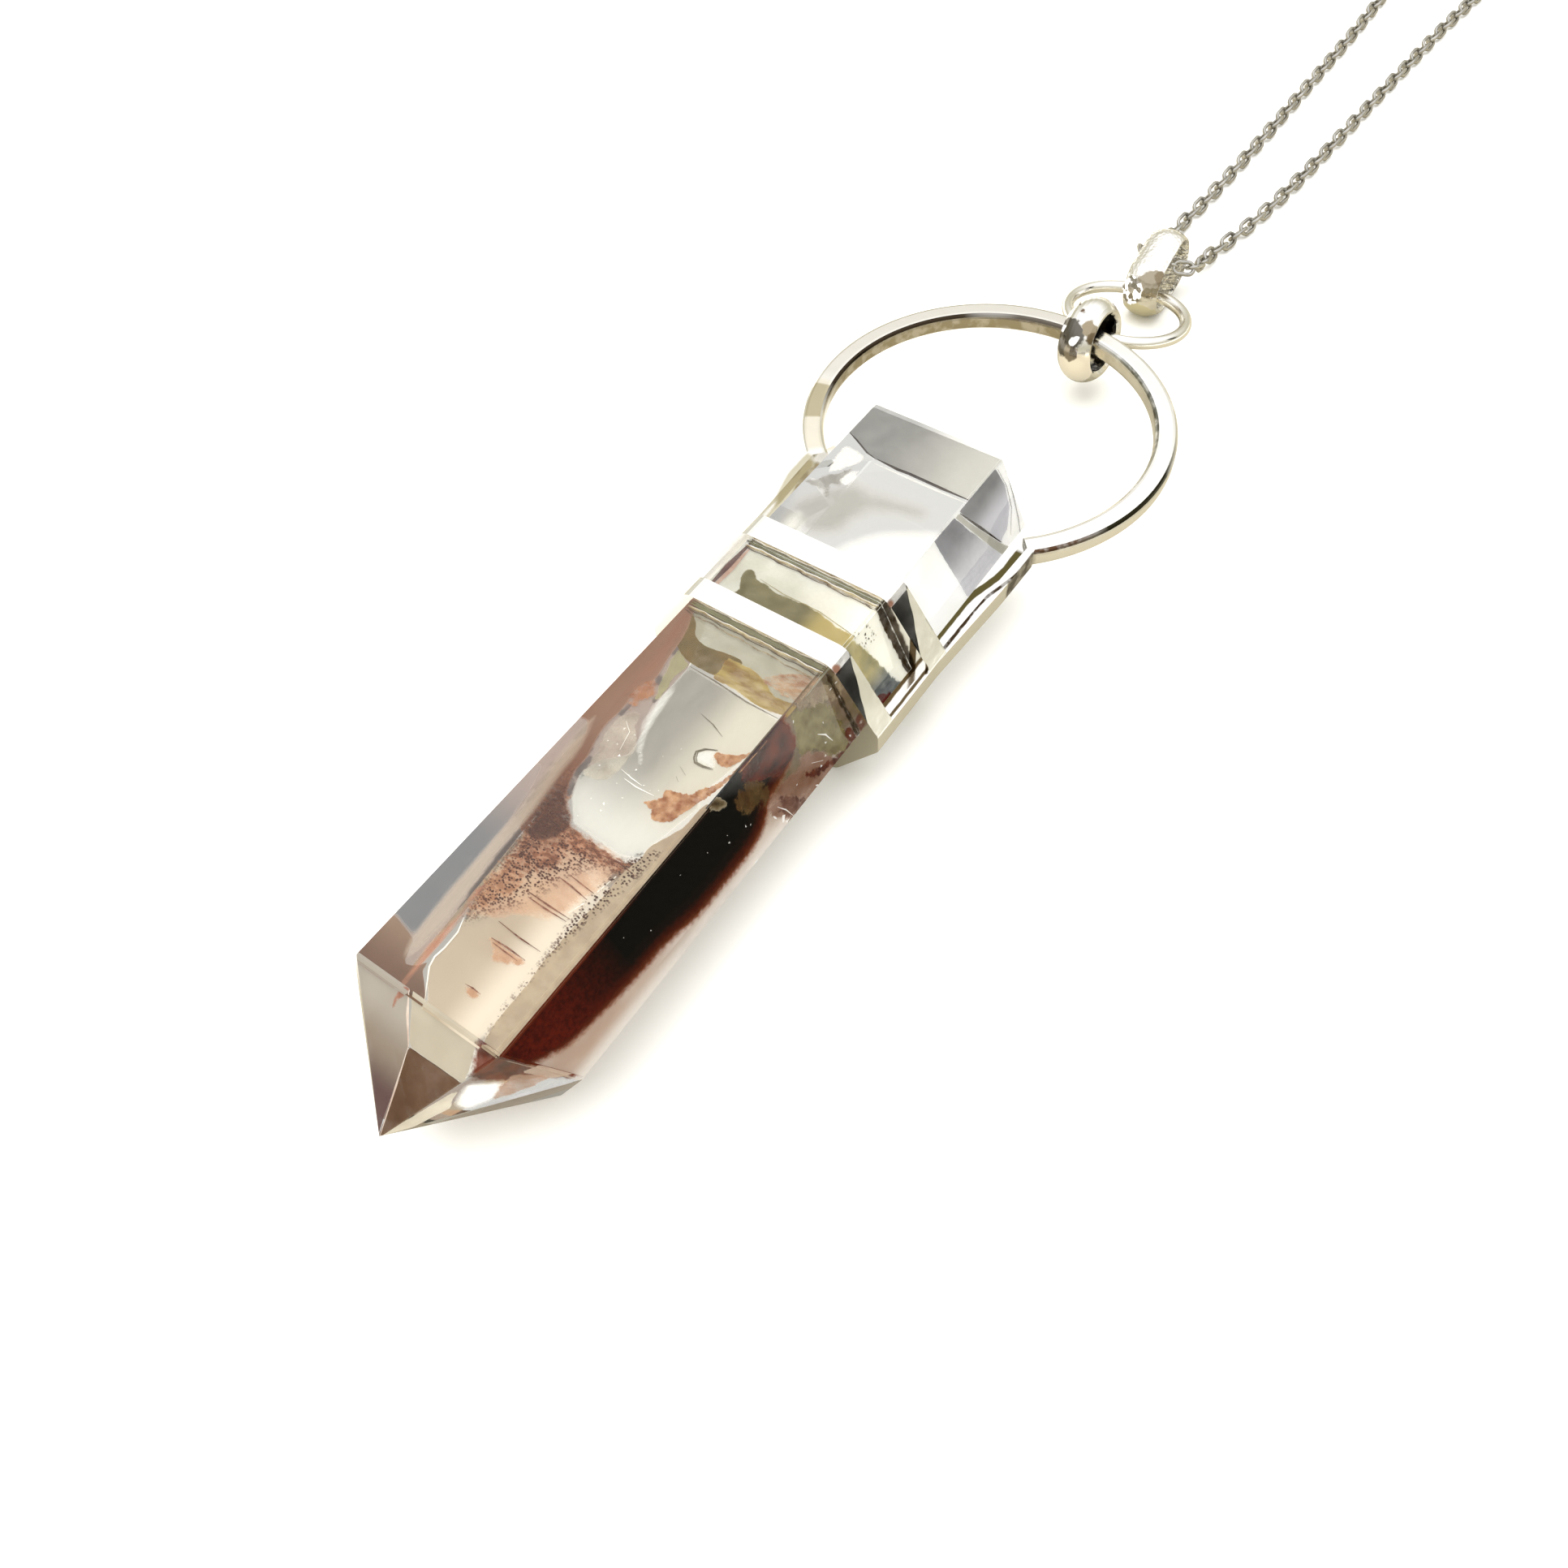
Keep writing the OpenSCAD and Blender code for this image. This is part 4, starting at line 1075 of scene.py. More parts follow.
def lay_lower_top():
    """Below the window: peach and cream stain, fine rusty marks, the growth lines, the sandy strip and
    painted white highlight lines.
    """
    cream = stain("cream_stain", ("#B4A692", "#BBAE9A"), (0.93, 0.98), soft=0.15, ragged=0.08, grain=2.5,
                  turns=[("X", 0.8, 3.6, "#DED4C4"), ("Y", -24, -21.5, "#C49E7C")])
    lay_sheet("cream_base", "top", 0.3, [
        (-3.2, -21), (-0.9, -21.2), (3.7, -21.6), (4.9, -20.8), (5, -30), (4.6, -38), (-0.2, -38),
        (-0.2, -36), (-1.7, -34.4), (-1.9, -33.5), (-1.8, -32), (-2.2, -30.4), (-2.9, -28), (-3.4, -24),
    ], cream, crisp=True)
    peach = stain("peach_iron_stain", ("#B6937A", "#C4A68A"), (0.3, 0.9), soft=0.8, ragged=0.4, grain=1.4,
                  stretch=(0.5, 1, 1))
    lay_sheet("peach_veil", "top", 0.26, [
        (-0.9, -21), (3.7, -21.3), (4.4, -23.4), (3.5, -25.7), (2.9, -27.3), (0.5, -28.4), (-1.1, -29.7),
        (-2.2, -30.2), (-2.7, -28.5), (-3.2, -24.2), (-3.2, -21),
    ], peach)
    speck = stain("rusty_ground", ("#6C422C", "#8C5C40"), (0.45, 1), soft=0.6, ragged=0.3, grain=0.42,
                  stretch=(0.7, 1.3, 1), clumps=(0.42, 0.56), turns=[("Y", -24, -28, "#9E7456")])
    lay_sheet("rusty_ground_sheet", "top", 0.22, [
        (-2.6, -19.3), (-0.9, -20.9), (1.4, -21.1), (3.7, -21.3), (4.9, -20.6), (4.5, -22.3), (2.7, -22.6),
        (0.4, -23.1), (0.8, -24.5), (-0.8, -25.7), (-0.5, -27), (-1.2, -28.6), (-2.2, -30.2), (-3, -28.2),
        (-3.1, -25.7), (-3.4, -23), (-3.8, -21), (-3.6, -18.6),
    ], speck, spacing=0.25)
    marks = dashes("rusty_marks", "#54301E", 0.13, 0.19, 0.8, soft=1.2)
    lay_sheet("rusty_marks_sheet", "top", 0.2, [
        (-3, -18.2), (-0.9, -20.9), (3.7, -21.3), (4.9, -20.6), (4.5, -22.8), (2.7, -23.4), (1.6, -25.6),
        (0.6, -27.9), (-0.6, -29.4), (-2.2, -31.2), (-3.2, -28.2), (-3.4, -25.7), (-4.2, -21), (-4.2, -17.4),
    ], marks)
    sand = stain("sandy_strip_film", ("#A6957E", "#B4A48C"), (0.94, 1), soft=0.06, ragged=0.03, grain=0.4,
                 turns=[("Y", -22, -16, "#A2907A")])
    lay_sheet("sandy_strip", "top", 0.16, [
        (5.7, -14.8), (5.6, -17.3), (5.1, -18.5), (4.6, -19.7), (4.7, -20.6), (4.4, -22), (4.4, -24.8),
        (4.2, -27.2), (4.2, -30), (4.4, -31.7), (4.4, -34.6), (4.8, -36.6), (7, -36.6), (7, -14.8),
    ], sand, crisp=True)
    lay_sheet("sandy_edge_strip", "top", 0.03, [(5.7, -15.2), (5.7, -37.4), (7, -37.4), (7, -15.2)], sand,
              crisp=True)
    lay_sheet("sandy_end_strip", "top", 0.034, [(4.7, -36), (7, -36), (7, -37.4), (4.8, -37.4)], sand,
              crisp=True)
    lay_sheet("cream_end_strip", "top", 0.03, [(-0.2, -36.2), (4.8, -36.2), (4.9, -37.4), (-0.2, -37.4)],
              cream, crisp=True)
    grains = dashes("dark_grains", "#4A3020", 0.14, 0.19, 0.78, soft=0.5)
    lay_sheet("dark_trail", "top", 0.14, [
        (4.9, -19.6), (5.7, -19.4), (5.7, -21.4), (5.4, -23.7), (5.1, -25.7), (4.8, -27.5), (4.6, -29.8),
        (4.6, -31.7), (4.6, -34.6), (4.9, -36), (4.5, -35.9), (4, -34.4), (3.9, -31.6), (3.8, -29.7),
        (3.5, -27.1), (3.5, -24.9), (3.7, -21.9), (4.2, -20.5),
    ], grains, spacing=0.2)
    crack = stain("stained_crack", ("#6A3A26", "#4A2416"), (0.55, 1), grain=0.4)
    lay_lines("growth_lines", "top", 0.152, [
        (0.14, [(2.2, -21.9), (3.7, -21.7), (5.3, -21.9)]),
        (0.12, [(1.6, -24.2), (2.6, -24.3), (3.8, -24.4)]),
        (0.14, [(1, -24.7), (2.2, -24.8), (3.7, -25)]),
        (0.14, [(-0.1, -26.65), (1.8, -26.7), (3.7, -26.7)]),
        (0.14, [(0.3, -26.95), (1.8, -27), (3.6, -26.95)]),
        (0.12, [(-0.1, -29.35), (1.8, -29.5), (3.6, -29.5)]),
        (0.14, [(0.3, -30.5), (1.6, -30.45), (3.2, -30.5)]),
        (0.1, [(0.6, -30.7), (1.6, -30.75), (2.8, -30.8)]),
        (0.1, [(1.1, -33.8), (1.7, -33.75), (2.4, -33.8)]),
    ], crack)
    flake = stain("peach_flake_stain", ("#AE8668", "#BA967A"), (0.5, 0.9), soft=0.25, ragged=0.15, grain=0.6)
    lay_sheet("peach_wedge", "top", 0.22,
              [(0.1, -30.5), (1.4, -30.4), (3.2, -30.5), (3.1, -30.9), (1.9, -31.6),
                                          (1, -31.3)], flake, spacing=0.2)
    lay_sheet("peach_flake", "top", 0.22,
              [(1, -33.8), (1.6, -33.7), (2.3, -33.8), (2.3, -34.2), (1.8, -34.4)], flake, spacing=0.15)
    # Painted highlights: thin white lines of light
    white = stain("painted_white_highlight", ("#FFFFFF", "#F0EADC"), (0.7, 1), grain=1)
    lay_lines("white_highlight_lines", "top", 0.172, [
        (0.12, [(-2.2, -30.4), (-1.8, -31.4), (-1.75, -32.7), (-1.85, -33.5), (-1.65, -34.2), (-0.3, -36)]),
        (0.25, [(4.2, -22.6), (3.9, -24.2)]), (0.2, [(3.7, -25.3), (3.3, -26.4)]), (0.12,
                                                                                    [(5.9, -15.2),
                                                                                     (5.8, -18)]),
    ], white)


def lay_mass():
    """The thick mass of iron oxide under the right face, black in the middle and rusty at its rim."""
    mass = iron_core("iron_oxide_core", [
        (0, "#AA7E60"), (0.35, "#8A4A26"), (0.9, "#5A1C0A"), (1.5, "#1A0806"), (2.3, "#020202"),
    ], soft=0.6, ragged=0.12, grain=0.4, deep=("#560F08", "#7C2210"), deep_range=(-26, -32))
    lay_sheet("dark_mass", "right", 0.14, [
        (-3, -5), (0.4, -5.9), (1.6, -6.1), (3.2, -6.9), (3.8, -8.7), (4.2, -10.5), (5.1, -11.6), (5.7, -13),
        (5.9, -14.8), (5.9, -17.5), (5.8, -20.3), (5.2, -23.4), (5, -26.7), (4.6, -29.8), (4.1, -32.7),
        (3, -34.9), (1.9, -36.4), (0.6, -37.6), (-3, -38),
    ], mass)
    end = stain("rusty_mass_end", ("#6E2A10", "#46180A"), (0.92, 1), soft=0.5, ragged=0.2, grain=0.6,
                glow=0.5)
    lay_sheet("mass_end_top", "point_top", 0.14, [
        (4.2, -3), (4.2, 0.2), (4.6, 2.1), (4.7, 2.9), (5.9, 1.9), (7.1, 0.9), (9, -3),
    ], end)
    lay_sheet("mass_end_right", "point_right", 0.14, [
        (-7, -3), (-5.9, -0.7), (-3.4, 3), (-2, 3), (-0.8, 2.5), (0.4, 1.7), (1.8, 0.9), (3.2, 0.2),
        (4.2, -3),
    ], end)
    core = stain("dark_mass_edge", ("#0C0504", "#180806"), (0.95, 1), soft=0.05, ragged=0, grain=1,
                 turns=[("Y", -22, -30, "#662410")])
    lay_sheet("mass_edge_strip", "right", 0.03, [(-1, -15), (0.35, -15), (0.35, -37), (-1, -37)], core,
              crisp=True)
    rusty = stain("rusty_head", ("#7C2C10", "#380A04"), (0.9, 1), soft=0.3, ragged=0.2, grain=0.6,
                  stretch=(1, 0.6, 1), glow=0.1)
    lay_sheet("rusty_head_sheet", "right", 0.12, [
        (1.7, -6), (0.4, -6), (-0.6, -7.7), (-0.6, -10.6), (0.6, -11.8), (1.7, -11.2), (2.6, -9.8),
        (3.2, -8.7), (3.1, -7.3), (2.6, -6.4),
    ], rusty)
    clay = stain("clay_spot", ("#5E4A2C", "#4A3018"), (0.4, 0.95), soft=0.4, ragged=0.4, grain=0.7)
    lay_sheet("clay_spot_sheet", "right", 0.108, [
        (1.3, -13), (1.1, -12.2), (1.3, -11), (2.7, -10.1), (3.7, -10.2), (3.8, -11.2), (3.3, -12.6),
        (2.3, -13.4),
    ], clay)
    pebble = iron_core("pale_pebble", [(0, "#D8C8AC"), (0.25, "#8A7858"), (0.5, "#5E4A30")], soft=0.1,
                       ragged=0.1, grain=0.4)
    lay_sheet("pale_pebble_sheet", "right", 0.08, [
        (-0.4, -15.1), (-0.2, -14.2), (0.6, -13.7), (1.2, -13.7), (0.9, -14.5), (0.1, -15.2),
    ], pebble, spacing=0.12)


def lay_right_side():
    """Beside the mass: speckled olive clay, red blobs, a rosy film, and painted white glints along its rim.
    """
    blush = stain("blush_film", ("#BCA492", "#CDBFB2"), (0.75, 0.95), soft=0.3, ragged=0.1, grain=2.4,
                  stretch=(1, 0.5, 1), turns=[("Z", 7.6, 6.4, "#E8E2DC")])
    lay_sheet("blush_side", "right", 0.2, [
        (1, -11), (3.5, -10), (8, -10), (8, -40), (1, -40),
    ], blush)
    clay = stain("brown_clay_film", ("#665A3C", "#86705A"), (0.95, 1), soft=0.1, ragged=0.1, grain=0.6,
                 turns=[("Z", 7.8, 6.6, "#C0B4A8")])
    lay_sheet("clay_ground", "right", 0.24, [(-3, -0.8), (8.6, -0.8), (8, -11), (3.6, -12.5), (-3, -12.5)],
              clay, crisp=True)
    lichen = stain("olive_clay_film", ("#665A32", "#8A8056"), (0.85, 1), soft=0.3, ragged=0.25, grain=0.45)
    lay_sheet("olive_side", "right", 0.13, [
        (0.4, -4.9), (1.2, -3.6), (1.6, -2.5), (2.7, -2), (4.1, -1.9), (5.6, -1.8), (6.8, -2.1), (6.6, -3.2),
        (5.5, -4.5), (4.3, -5.1), (3.9, -6.4), (2.4, -6.5), (1.3, -5.9), (0.2, -5.6),
    ], lichen)
    pale = stain("pale_chips", ("#A8987E", "#8A7862"), (0.4, 0.85), soft=0.2, ragged=0.3, grain=0.5)
    lay_sheet("pale_side", "right", 0.1, [
        (-0.4, -5), (-0.2, -3.6), (0.3, -2.4), (1.4, -1.2), (2.9, -1.1), (2, -2.3), (1.3, -3.4), (0.7, -4.6),
    ], pale)
    rosy = stain("rosy_clay_film", ("#77533E", "#9A7C6E"), (0.6, 0.95), soft=0.3, ragged=0.3, grain=0.9,
                 stretch=(1, 0.6, 1))
    lay_sheet("rosy_side", "right", 0.108, [
        (3.3, -6.5), (4.3, -5.1), (6.2, -3.8), (7.1, -2.7), (8, -2.6), (7.8, -5.7), (7.6, -8.7), (7.2, -9.8),
        (5.7, -10.8), (4.5, -11.1), (3.6, -10.8), (3.6, -9.2), (4, -7.5),
    ], rosy)
    blood = stain("dark_red_blob", ("#3A100A", "#5E2A18"), (0.8, 1), soft=0.2, ragged=0.2, grain=0.5)
    lay_sheet("violet_blob", "right", 0.092, [
        (4.4, -10), (4.8, -9.1), (6.1, -8.2), (7, -7.9), (7.1, -8.7), (6.5, -9.9), (5.2, -10.4),
    ], stain("violet_brown_blob", ("#4A2A24", "#6A4A3E"), (0.6, 0.95), soft=0.3, ragged=0.3,
             grain=0.6), spacing=0.2)
    lay_sheet("red_blob", "right", 0.084, [
        (5.1, -2.3), (5.2, -1.6), (5.9, -1.2), (6.8, -1.4), (6.5, -2.1), (5.7, -2.4),
    ], blood, spacing=0.15)
    lay_sheet("red_seam", "right", 0.076, [
        (6.5, -1.7), (7.1, -1.4), (7.3, -2.4), (7.1, -3.3), (6.3, -4.9), (5.9, -6.2), (5.3, -6.9),
        (4.8, -6.9), (5.3, -5.8), (5.9, -4.2), (6.3, -2.9), (6.2, -2.2),
    ], blood, spacing=0.15)
    pink = stain("pink_iron_streaks", ("#86644C", "#A48668"), (0.2, 0.85), grain=0.35, stretch=(0.5, 1.2, 1))
    lay_sheet("pink_veil", "top", 0.16, [
        (2.6, -4.3), (3.2, -3.4), (4.6, -2.4), (6.5, -1.6), (6.5, -4.4), (5.2, -4.5), (4, -4.6),
    ], pink)
    lay_lines("pink_streaks", "top", 0.14, [
        (0.3, [(3.2, -3.6), (4.4, -2.7), (5.9, -1.9)]), (0.35, [(3.6, -4.1), (5.1, -3.3), (6.5, -2.2)]),
        (0.3, [(4.1, -4.4), (5.4, -3.8), (6.4, -2.8)]),
    ], pink)
    # Painted glints: small white spots and scratch lines of light along the side
    bright = stain("painted_white_glint", ("#FFFFFF", "#F2EFE8"), (0.9, 1), grain=0.5)
    lay_glints("side_glints", "right", 0.068, [
        (2.5, -17, 0.12), (3.4, -15.2, 0.2), (2.9, -15, 0.12), (3.6, -13.4, 0.26), (3.9, -13, 0.14),
        (1.9, -19.6, 0.12), (5.3, -11, 0.5), (5.9, -10.5, 0.6), (6.4, -10.2, 0.5), (6.6, -12, 0.35),
        (6.6, -14.2, 0.45), (6.8, -15.4, 0.6), (5.3, -4.6, 0.3), (5.6, -5.4, 0.25), (4.5, -4, 0.3),
        (5.9, -1.8, 0.35), (0.9, -5.6, 0.25), (1.6, -1.4, 0.3), (6.5, -6.5, 0.4), (3.1, -3.4, 0.18),
        (4.9, -8, 0.2), (7, -9.8, 0.3), (3, -23.6, 0.12), (1.6, -25.4, 0.1),
    ], bright)
    lay_lines("side_scratches", "right", 0.068, [
        (0.14, [(3.4, -4.3), (4, -3.7), (4.9, -3.4)]), (0.1, [(4.7, -6), (5.4, -5)]),
        (0.1, [(4.8, -10.4), (5.6, -9.9), (6.6, -9.6)]),
    ], bright)


def lay_point():
    """The point's facets: cream above, rose-brown down its left side, a brown triangle on its right and a
    painted white highlight.
    """
    rose = stain("point_rose_film", ("#A7A096", "#A09990"), (0.93, 0.98), soft=0.05, ragged=0.02, grain=3,
                 turns=[("Y", -37.2, -39.4, "#8C7E71"), ("Y", -39.2, -41.6, "#553C3C")], glow=0.65)
    lay_sheet("point_left", "point_top", 0.14, [
        (-9, -3), (-1.6, -3), (-1.55, -0.1), (-0.1, 3.2), (0.25, 12), (-9, 12),
    ], rose, crisp=True)
    lay_sheet("point_left_strip", "point_top", 0.03, [(-9, -1), (-1.6, -1), (-1.5, 0.4), (-9, 0.4)], rose,
              crisp=True)
    lay_sheet("point_quad", "point_top", 0.14, [(-1.6, -1), (4.2, -1), (4.6, 2.1), (4.5, 3.1), (-0.1, 3.2)],
              stain("point_cream_film", ("#B4AB9A", "#C2BAA9"), (0.93, 0.98), soft=0.05, ragged=0.02,
                    grain=2, glow=0.65), crisp=True)
    lay_sheet("point_triangle", "point_top", 0.132, [(-0.1, 3.2), (4.5, 3.05), (0.4, 10.2), (0.2, 10.2)],
              stain("point_umber_film", ("#543824", "#644834"), (0.93, 1), soft=0.05, ragged=0.03, grain=1.5,
                    glow=0.65), crisp=True)
    lay_sheet("point_streak", "point_top", 0.12,
              [(-1.9, -0.3), (-1.5, -0.1), (-1.9, 1), (-2.3, 1.9), (-2.4, 0.8)],
              stain("point_red_streak", ("#84513F", "#93604C"), (0.6, 0.9), soft=0.2, ragged=0.1, grain=1,
                    glow=0.65), spacing=0.2)
    pale = stain("pale_facet_film", ("#D6CEBC", "#E6DFCE"), (0.85, 0.95), soft=0.06, ragged=0.03, grain=1.5,
                 glow=0.65)
    lay_sheet("point_pale_top", "point_top", 0.132, [(4.5, 3.1), (0.4, 9.9), (0.5, 12), (9, 3), (4.8, 2.9)],
              pale, crisp=True)
    lay_sheet("point_pale_right", "point_right", 0.12, [
        (-3, 3.8), (-3.4, 12), (-2.4, 11), (-1.7, 6.5), (-2.3, 5.7),
    ], pale, crisp=True)
    # Painted highlight: a soft white patch of light on the point's right facet
    lay_sheet("point_bright", "point_right", 0.12, [
        (-2.1, 6), (-3, 3.6), (-1.9, 2.9), (-1, 2.3), (-0.4, 3.1), (0.1, 4.7), (-0.6, 6.4),
    ], stain("painted_facet_highlight", ("#FFFFFF", "#FFFDF6"), (0.9, 1), soft=0.6, ragged=0.1, grain=2,
             glow=0.65))
    lay_sheet("point_salmon", "point_right", 0.116, [(-1, 2.3), (-0.8, 1.2), (1.5, 0.9), (0.1, 4.7)],
              stain("salmon_film", ("#9E7E68", "#B49480"), (0.6, 0.95), soft=0.25, ragged=0.15, grain=0.8,
                    glow=0.65), spacing=0.2)
    lay_sheet("point_sliver", "point_right", 0.116, [
        (0.2, 4.9), (1.1, 3.3), (2.8, 0.6), (3, -0.3), (3.6, 1.8), (2, 4.3), (0, 7.4),
    ], stain("grey_facet_film", ("#BEBEC2", "#CECED2"), (0.7, 0.9), soft=0.06, ragged=0.03, grain=1,
             glow=0.65),
        spacing=0.2, crisp=True)
    lay_sheet("point_beige", "point_right", 0.124, [
        (-0.9, 1.1), (-0.5, 0), (1.1, -0.6), (0.6, -3), (3.4, -3), (2.9, -0.3), (1.5, 0.9),
    ], stain("beige_facet_film", ("#B49F8E", "#C4B09E"), (0.8, 0.95), soft=0.1, ragged=0.05, grain=1.5,
             glow=0.65), crisp=True)
    seam = stain("pale_seam", ("#E4D8CC", "#CDB6A8"), (0.8, 1), grain=0.8, glow=0.65)
    lay_lines("point_edges", "point_top", 0.1, [
        (0.22, [(-1.55, -0.1), (-1, 1.4), (-0.1, 3.2)]), (0.14, [(-0.1, 3.2), (0.1, 6.2), (0.3, 9.7)]),
    ], seam)
    dark = stain("dark_seam", ("#3E2A1E", "#4E3A2A"), (0.8, 1), grain=0.8, glow=0.65)
    lay_lines("point_dark_edges", "point_top", 0.1, [
        (0.08, [(-0.1, 3.25), (2.2, 3.15), (4.5, 3.1)]), (0.08, [(4.5, 3.1), (2.5, 6.4), (0.45, 9.7)]),
    ], dark)


def lay_clear_end():
    """The clear end past the bands, in painted sheets: painted grey reflections where it mirrors the room,
    painted white light where the light comes through, and painted dark and white edge lines.
    """
    # Painted grey reflection on the end facet, lighter towards the right
    grey = stain("end_painted_grey", ("#8C8C8A", "#989896"), (0.92, 0.97), soft=0.06, ragged=0.03, grain=1.2,
                 turns=[("X", -3, 5.6, "#D0CFCA")], glow=0.08)
    lay_sheet("end_facet", "top", 0.06, [
        (-6.8, 21.2), (-6.8, 25.5), (6.8, 25.5), (6.8, 19.2), (-2.5, 19.3), (-3.6, 19.6), (-5.1, 20.4),
    ], grey, crisp=True)
    dark = stain("end_edge_line", ("#2A201A", "#4A3E34"), (0.9, 1), grain=1.2, glow=0)
    lay_lines("end_lines", "top", 0.056, [
        (0.16, [(-6.4, 21), (-5.1, 20.4), (-3.6, 19.6), (-2.5, 19.3)]),
        (0.3, [(-2.5, 19.36), (-0.4, 19.22), (0.7, 19.28), (3.7, 19.2), (6.3, 19.2)]),
    ], dark)
    white = stain("white_reflection", ("#FFFFFF", "#FFFFFA"), (0.85, 1), soft=0.25, ragged=0.15, grain=1,
                  glow=0)
    lay_lines("end_white_line", "top", 0.056,
              [(0.2, [(-2.4, 18.85), (0.7, 18.82), (3.7, 18.8), (6.2, 18.8)])], white)
    # Painted shade over the middle
    middle = stain("middle_painted_shade", ("#98968F", "#9E9C95"), (0.62, 0.72), soft=2.4, ragged=0.05, grain=4,
                   glow=0)
    lay_sheet("middle_shade", "top", 0.14, [
        (-6.8, 12), (-4.4, 16), (-3, 17.5), (-0.8, 17.2), (4.2, 17.6), (5.2, 14.9), (1.2, 13.2), (0.4, 10.4),
        (-2.4, 8.4), (-5.5, 9),
    ], middle)
    # Painted grey shade along the left edge
    left = stain("left_painted_shade", ("#8A8C90", "#989A9E"), (0.35, 0.5), soft=0.8, ragged=0.1, grain=2.5,
                 glow=0)
    lay_sheet("left_shade", "top", 0.08, [
        (-6.9, 8.8), (-6.9, 20), (-6, 19.6), (-5.8, 17), (-5.7, 13.6), (-5.2, 11.2), (-5.1, 9),
    ], left)
    # Painted grey shadow near the left edge
    shaded_patch = stain("painted_grey_shade", ("#86827A", "#928E86"), (0.5, 0.8), soft=0.35, ragged=0.2, grain=1,
                 glow=0)
    lay_sheet("grey_shade_patch", "top", 0.076, [
        (-6.2, 14.2), (-4.9, 15.8), (-3.3, 18.1), (-3.5, 16.3), (-2.9, 15.1), (-3.9, 14.9), (-2.8, 13.3),
        (-4.2, 13.9), (-5.3, 14),
    ], shaded_patch, spacing=0.2)
    lay_sheet("white_patch_wide", "top", 0.068, [
        (-5.2, 16.2), (-5.6, 19.1), (-4.9, 19.5), (-3.7, 19.1), (-3.4, 18.5), (-4.4, 16.6),
    ], white, spacing=0.2)
    lay_sheet("white_patch_tail", "top", 0.068, [(-3.8, 15.8), (-3, 18.1), (-2.7, 15.5)], white, spacing=0.2)
    soft_white = stain("soft_white_glow", ("#FFFFFF", "#FFFFF8"), (0.9, 1), soft=2.2, ragged=0.05, grain=3,
                       glow=0.1)
    lay_sheet("white_spot", "top", 0.076, [(-5.2, 8.6), (-5.2, 11), (-4.2, 11.6), (-3, 10.3), (-3.2, 8.6)],
              soft_white)
    lay_sheet("white_low", "top", 0.1, [
        (-0.6, 8), (0, 9.8), (1, 11.8), (2.8, 13.6), (7, 15.2), (7, 7), (1.5, 7.4),
    ], soft_white)
    # Painted white light on the right face
    side = stain("side_painted_light", ("#F4F4F0", "#FFFFFF"), (0.95, 1), soft=0.1, ragged=0, grain=2, glow=0.3)
    lay_sheet("side_white", "right", 0.14, [(-1, 7), (-1, 26), (9, 26), (9, 7)], side, crisp=True)
    # Painted grey reflections on the right face, upper and lower patches, each fading to white lower down
    upper = stain("upper_grey_patch", ("#7C7C82", "#94949A"), (0.95, 1), soft=0.06, ragged=0, grain=1,
                  turns=[("Z", 11.6, 9.2, "#EEEEF6")], glow=0)
    lay_sheet("patch_upper", "right", 0.08, [
        (0.1, 23.5), (0.1, 17.8), (1.6, 18.5), (5.5, 20.9), (5.2, 22.3), (3.9, 23.5), (2, 23.9),
    ], upper, spacing=0.2, crisp=True)
    lower = stain("lower_grey_patch", ("#80808A", "#9A9AA4"), (0.9, 1), soft=0.1, ragged=0.05, grain=1,
                  turns=[("Z", 11.2, 7.6, "#F4F4FA")], glow=0)
    lay_sheet("patch_lower", "right", 0.08, [
        (0.1, 17.1), (0.1, 14), (1.6, 14.2), (3.9, 14.6), (6.4, 15), (7.5, 16.4), (7.5, 20.6), (6.9, 20.9),
        (5.2, 19.9), (2.3, 18.2),
    ], lower, spacing=0.2, crisp=True)
    # Painted cream strip between the grey reflections
    lay_sheet("patch_strip", "right", 0.076, [
        (0.2, 17.7), (0.2, 17.1), (5.2, 19.8), (7.5, 21.2), (7.2, 22.3), (5.5, 20.9), (1.6, 18.4),
    ], stain("strip_painted_cream", ("#CFCDC2", "#DEDCD2"), (0.9, 1), soft=0.06, ragged=0, grain=2,
             glow=0), spacing=0.2,
        crisp=True)
    lay_lines("patch_line", "right", 0.06, [(0.26, [(0.3, 17.8), (2.9, 19.4), (5.6, 21.05)])], dark)
    rim = stain("grey_rim_line", ("#8A8A88", "#A6A6A2"), (0.6, 0.95), grain=1, glow=0)
    lay_lines("rim_lines", "right", 0.056, [
        (0.14, [(1.1, 24.6), (3.3, 24.4), (5.4, 24), (7.2, 23.4)]),
        (0.12, [(0.3, 23.7), (2.2, 24), (4, 23.7), (5.9, 22.4)]),
        (0.1, [(-0.2, 24.6), (1.1, 24.6)]),
    ], rim)


WRINKLE_START = -6
WRINKLE_LENGTH = 12.2
WRINKLE_STEPS = 26


def wrinkle(y, sway, lift=0):
    """A wavy line across the top face at that place along the crystal. Sway is the height of its waves, and
    lift how far its right end lies ahead of its left one."""
    points = []
    for i in range(WRINKLE_STEPS + 1):
        x = WRINKLE_START + WRINKLE_LENGTH * i / WRINKLE_STEPS
        wave = math.sin(2.3 * x + 5 * y) + 0.6 * math.sin(5.1 * x)
        points.append((x, y + lift * (x - WRINKLE_START) / 12 + sway * wave))
    return points


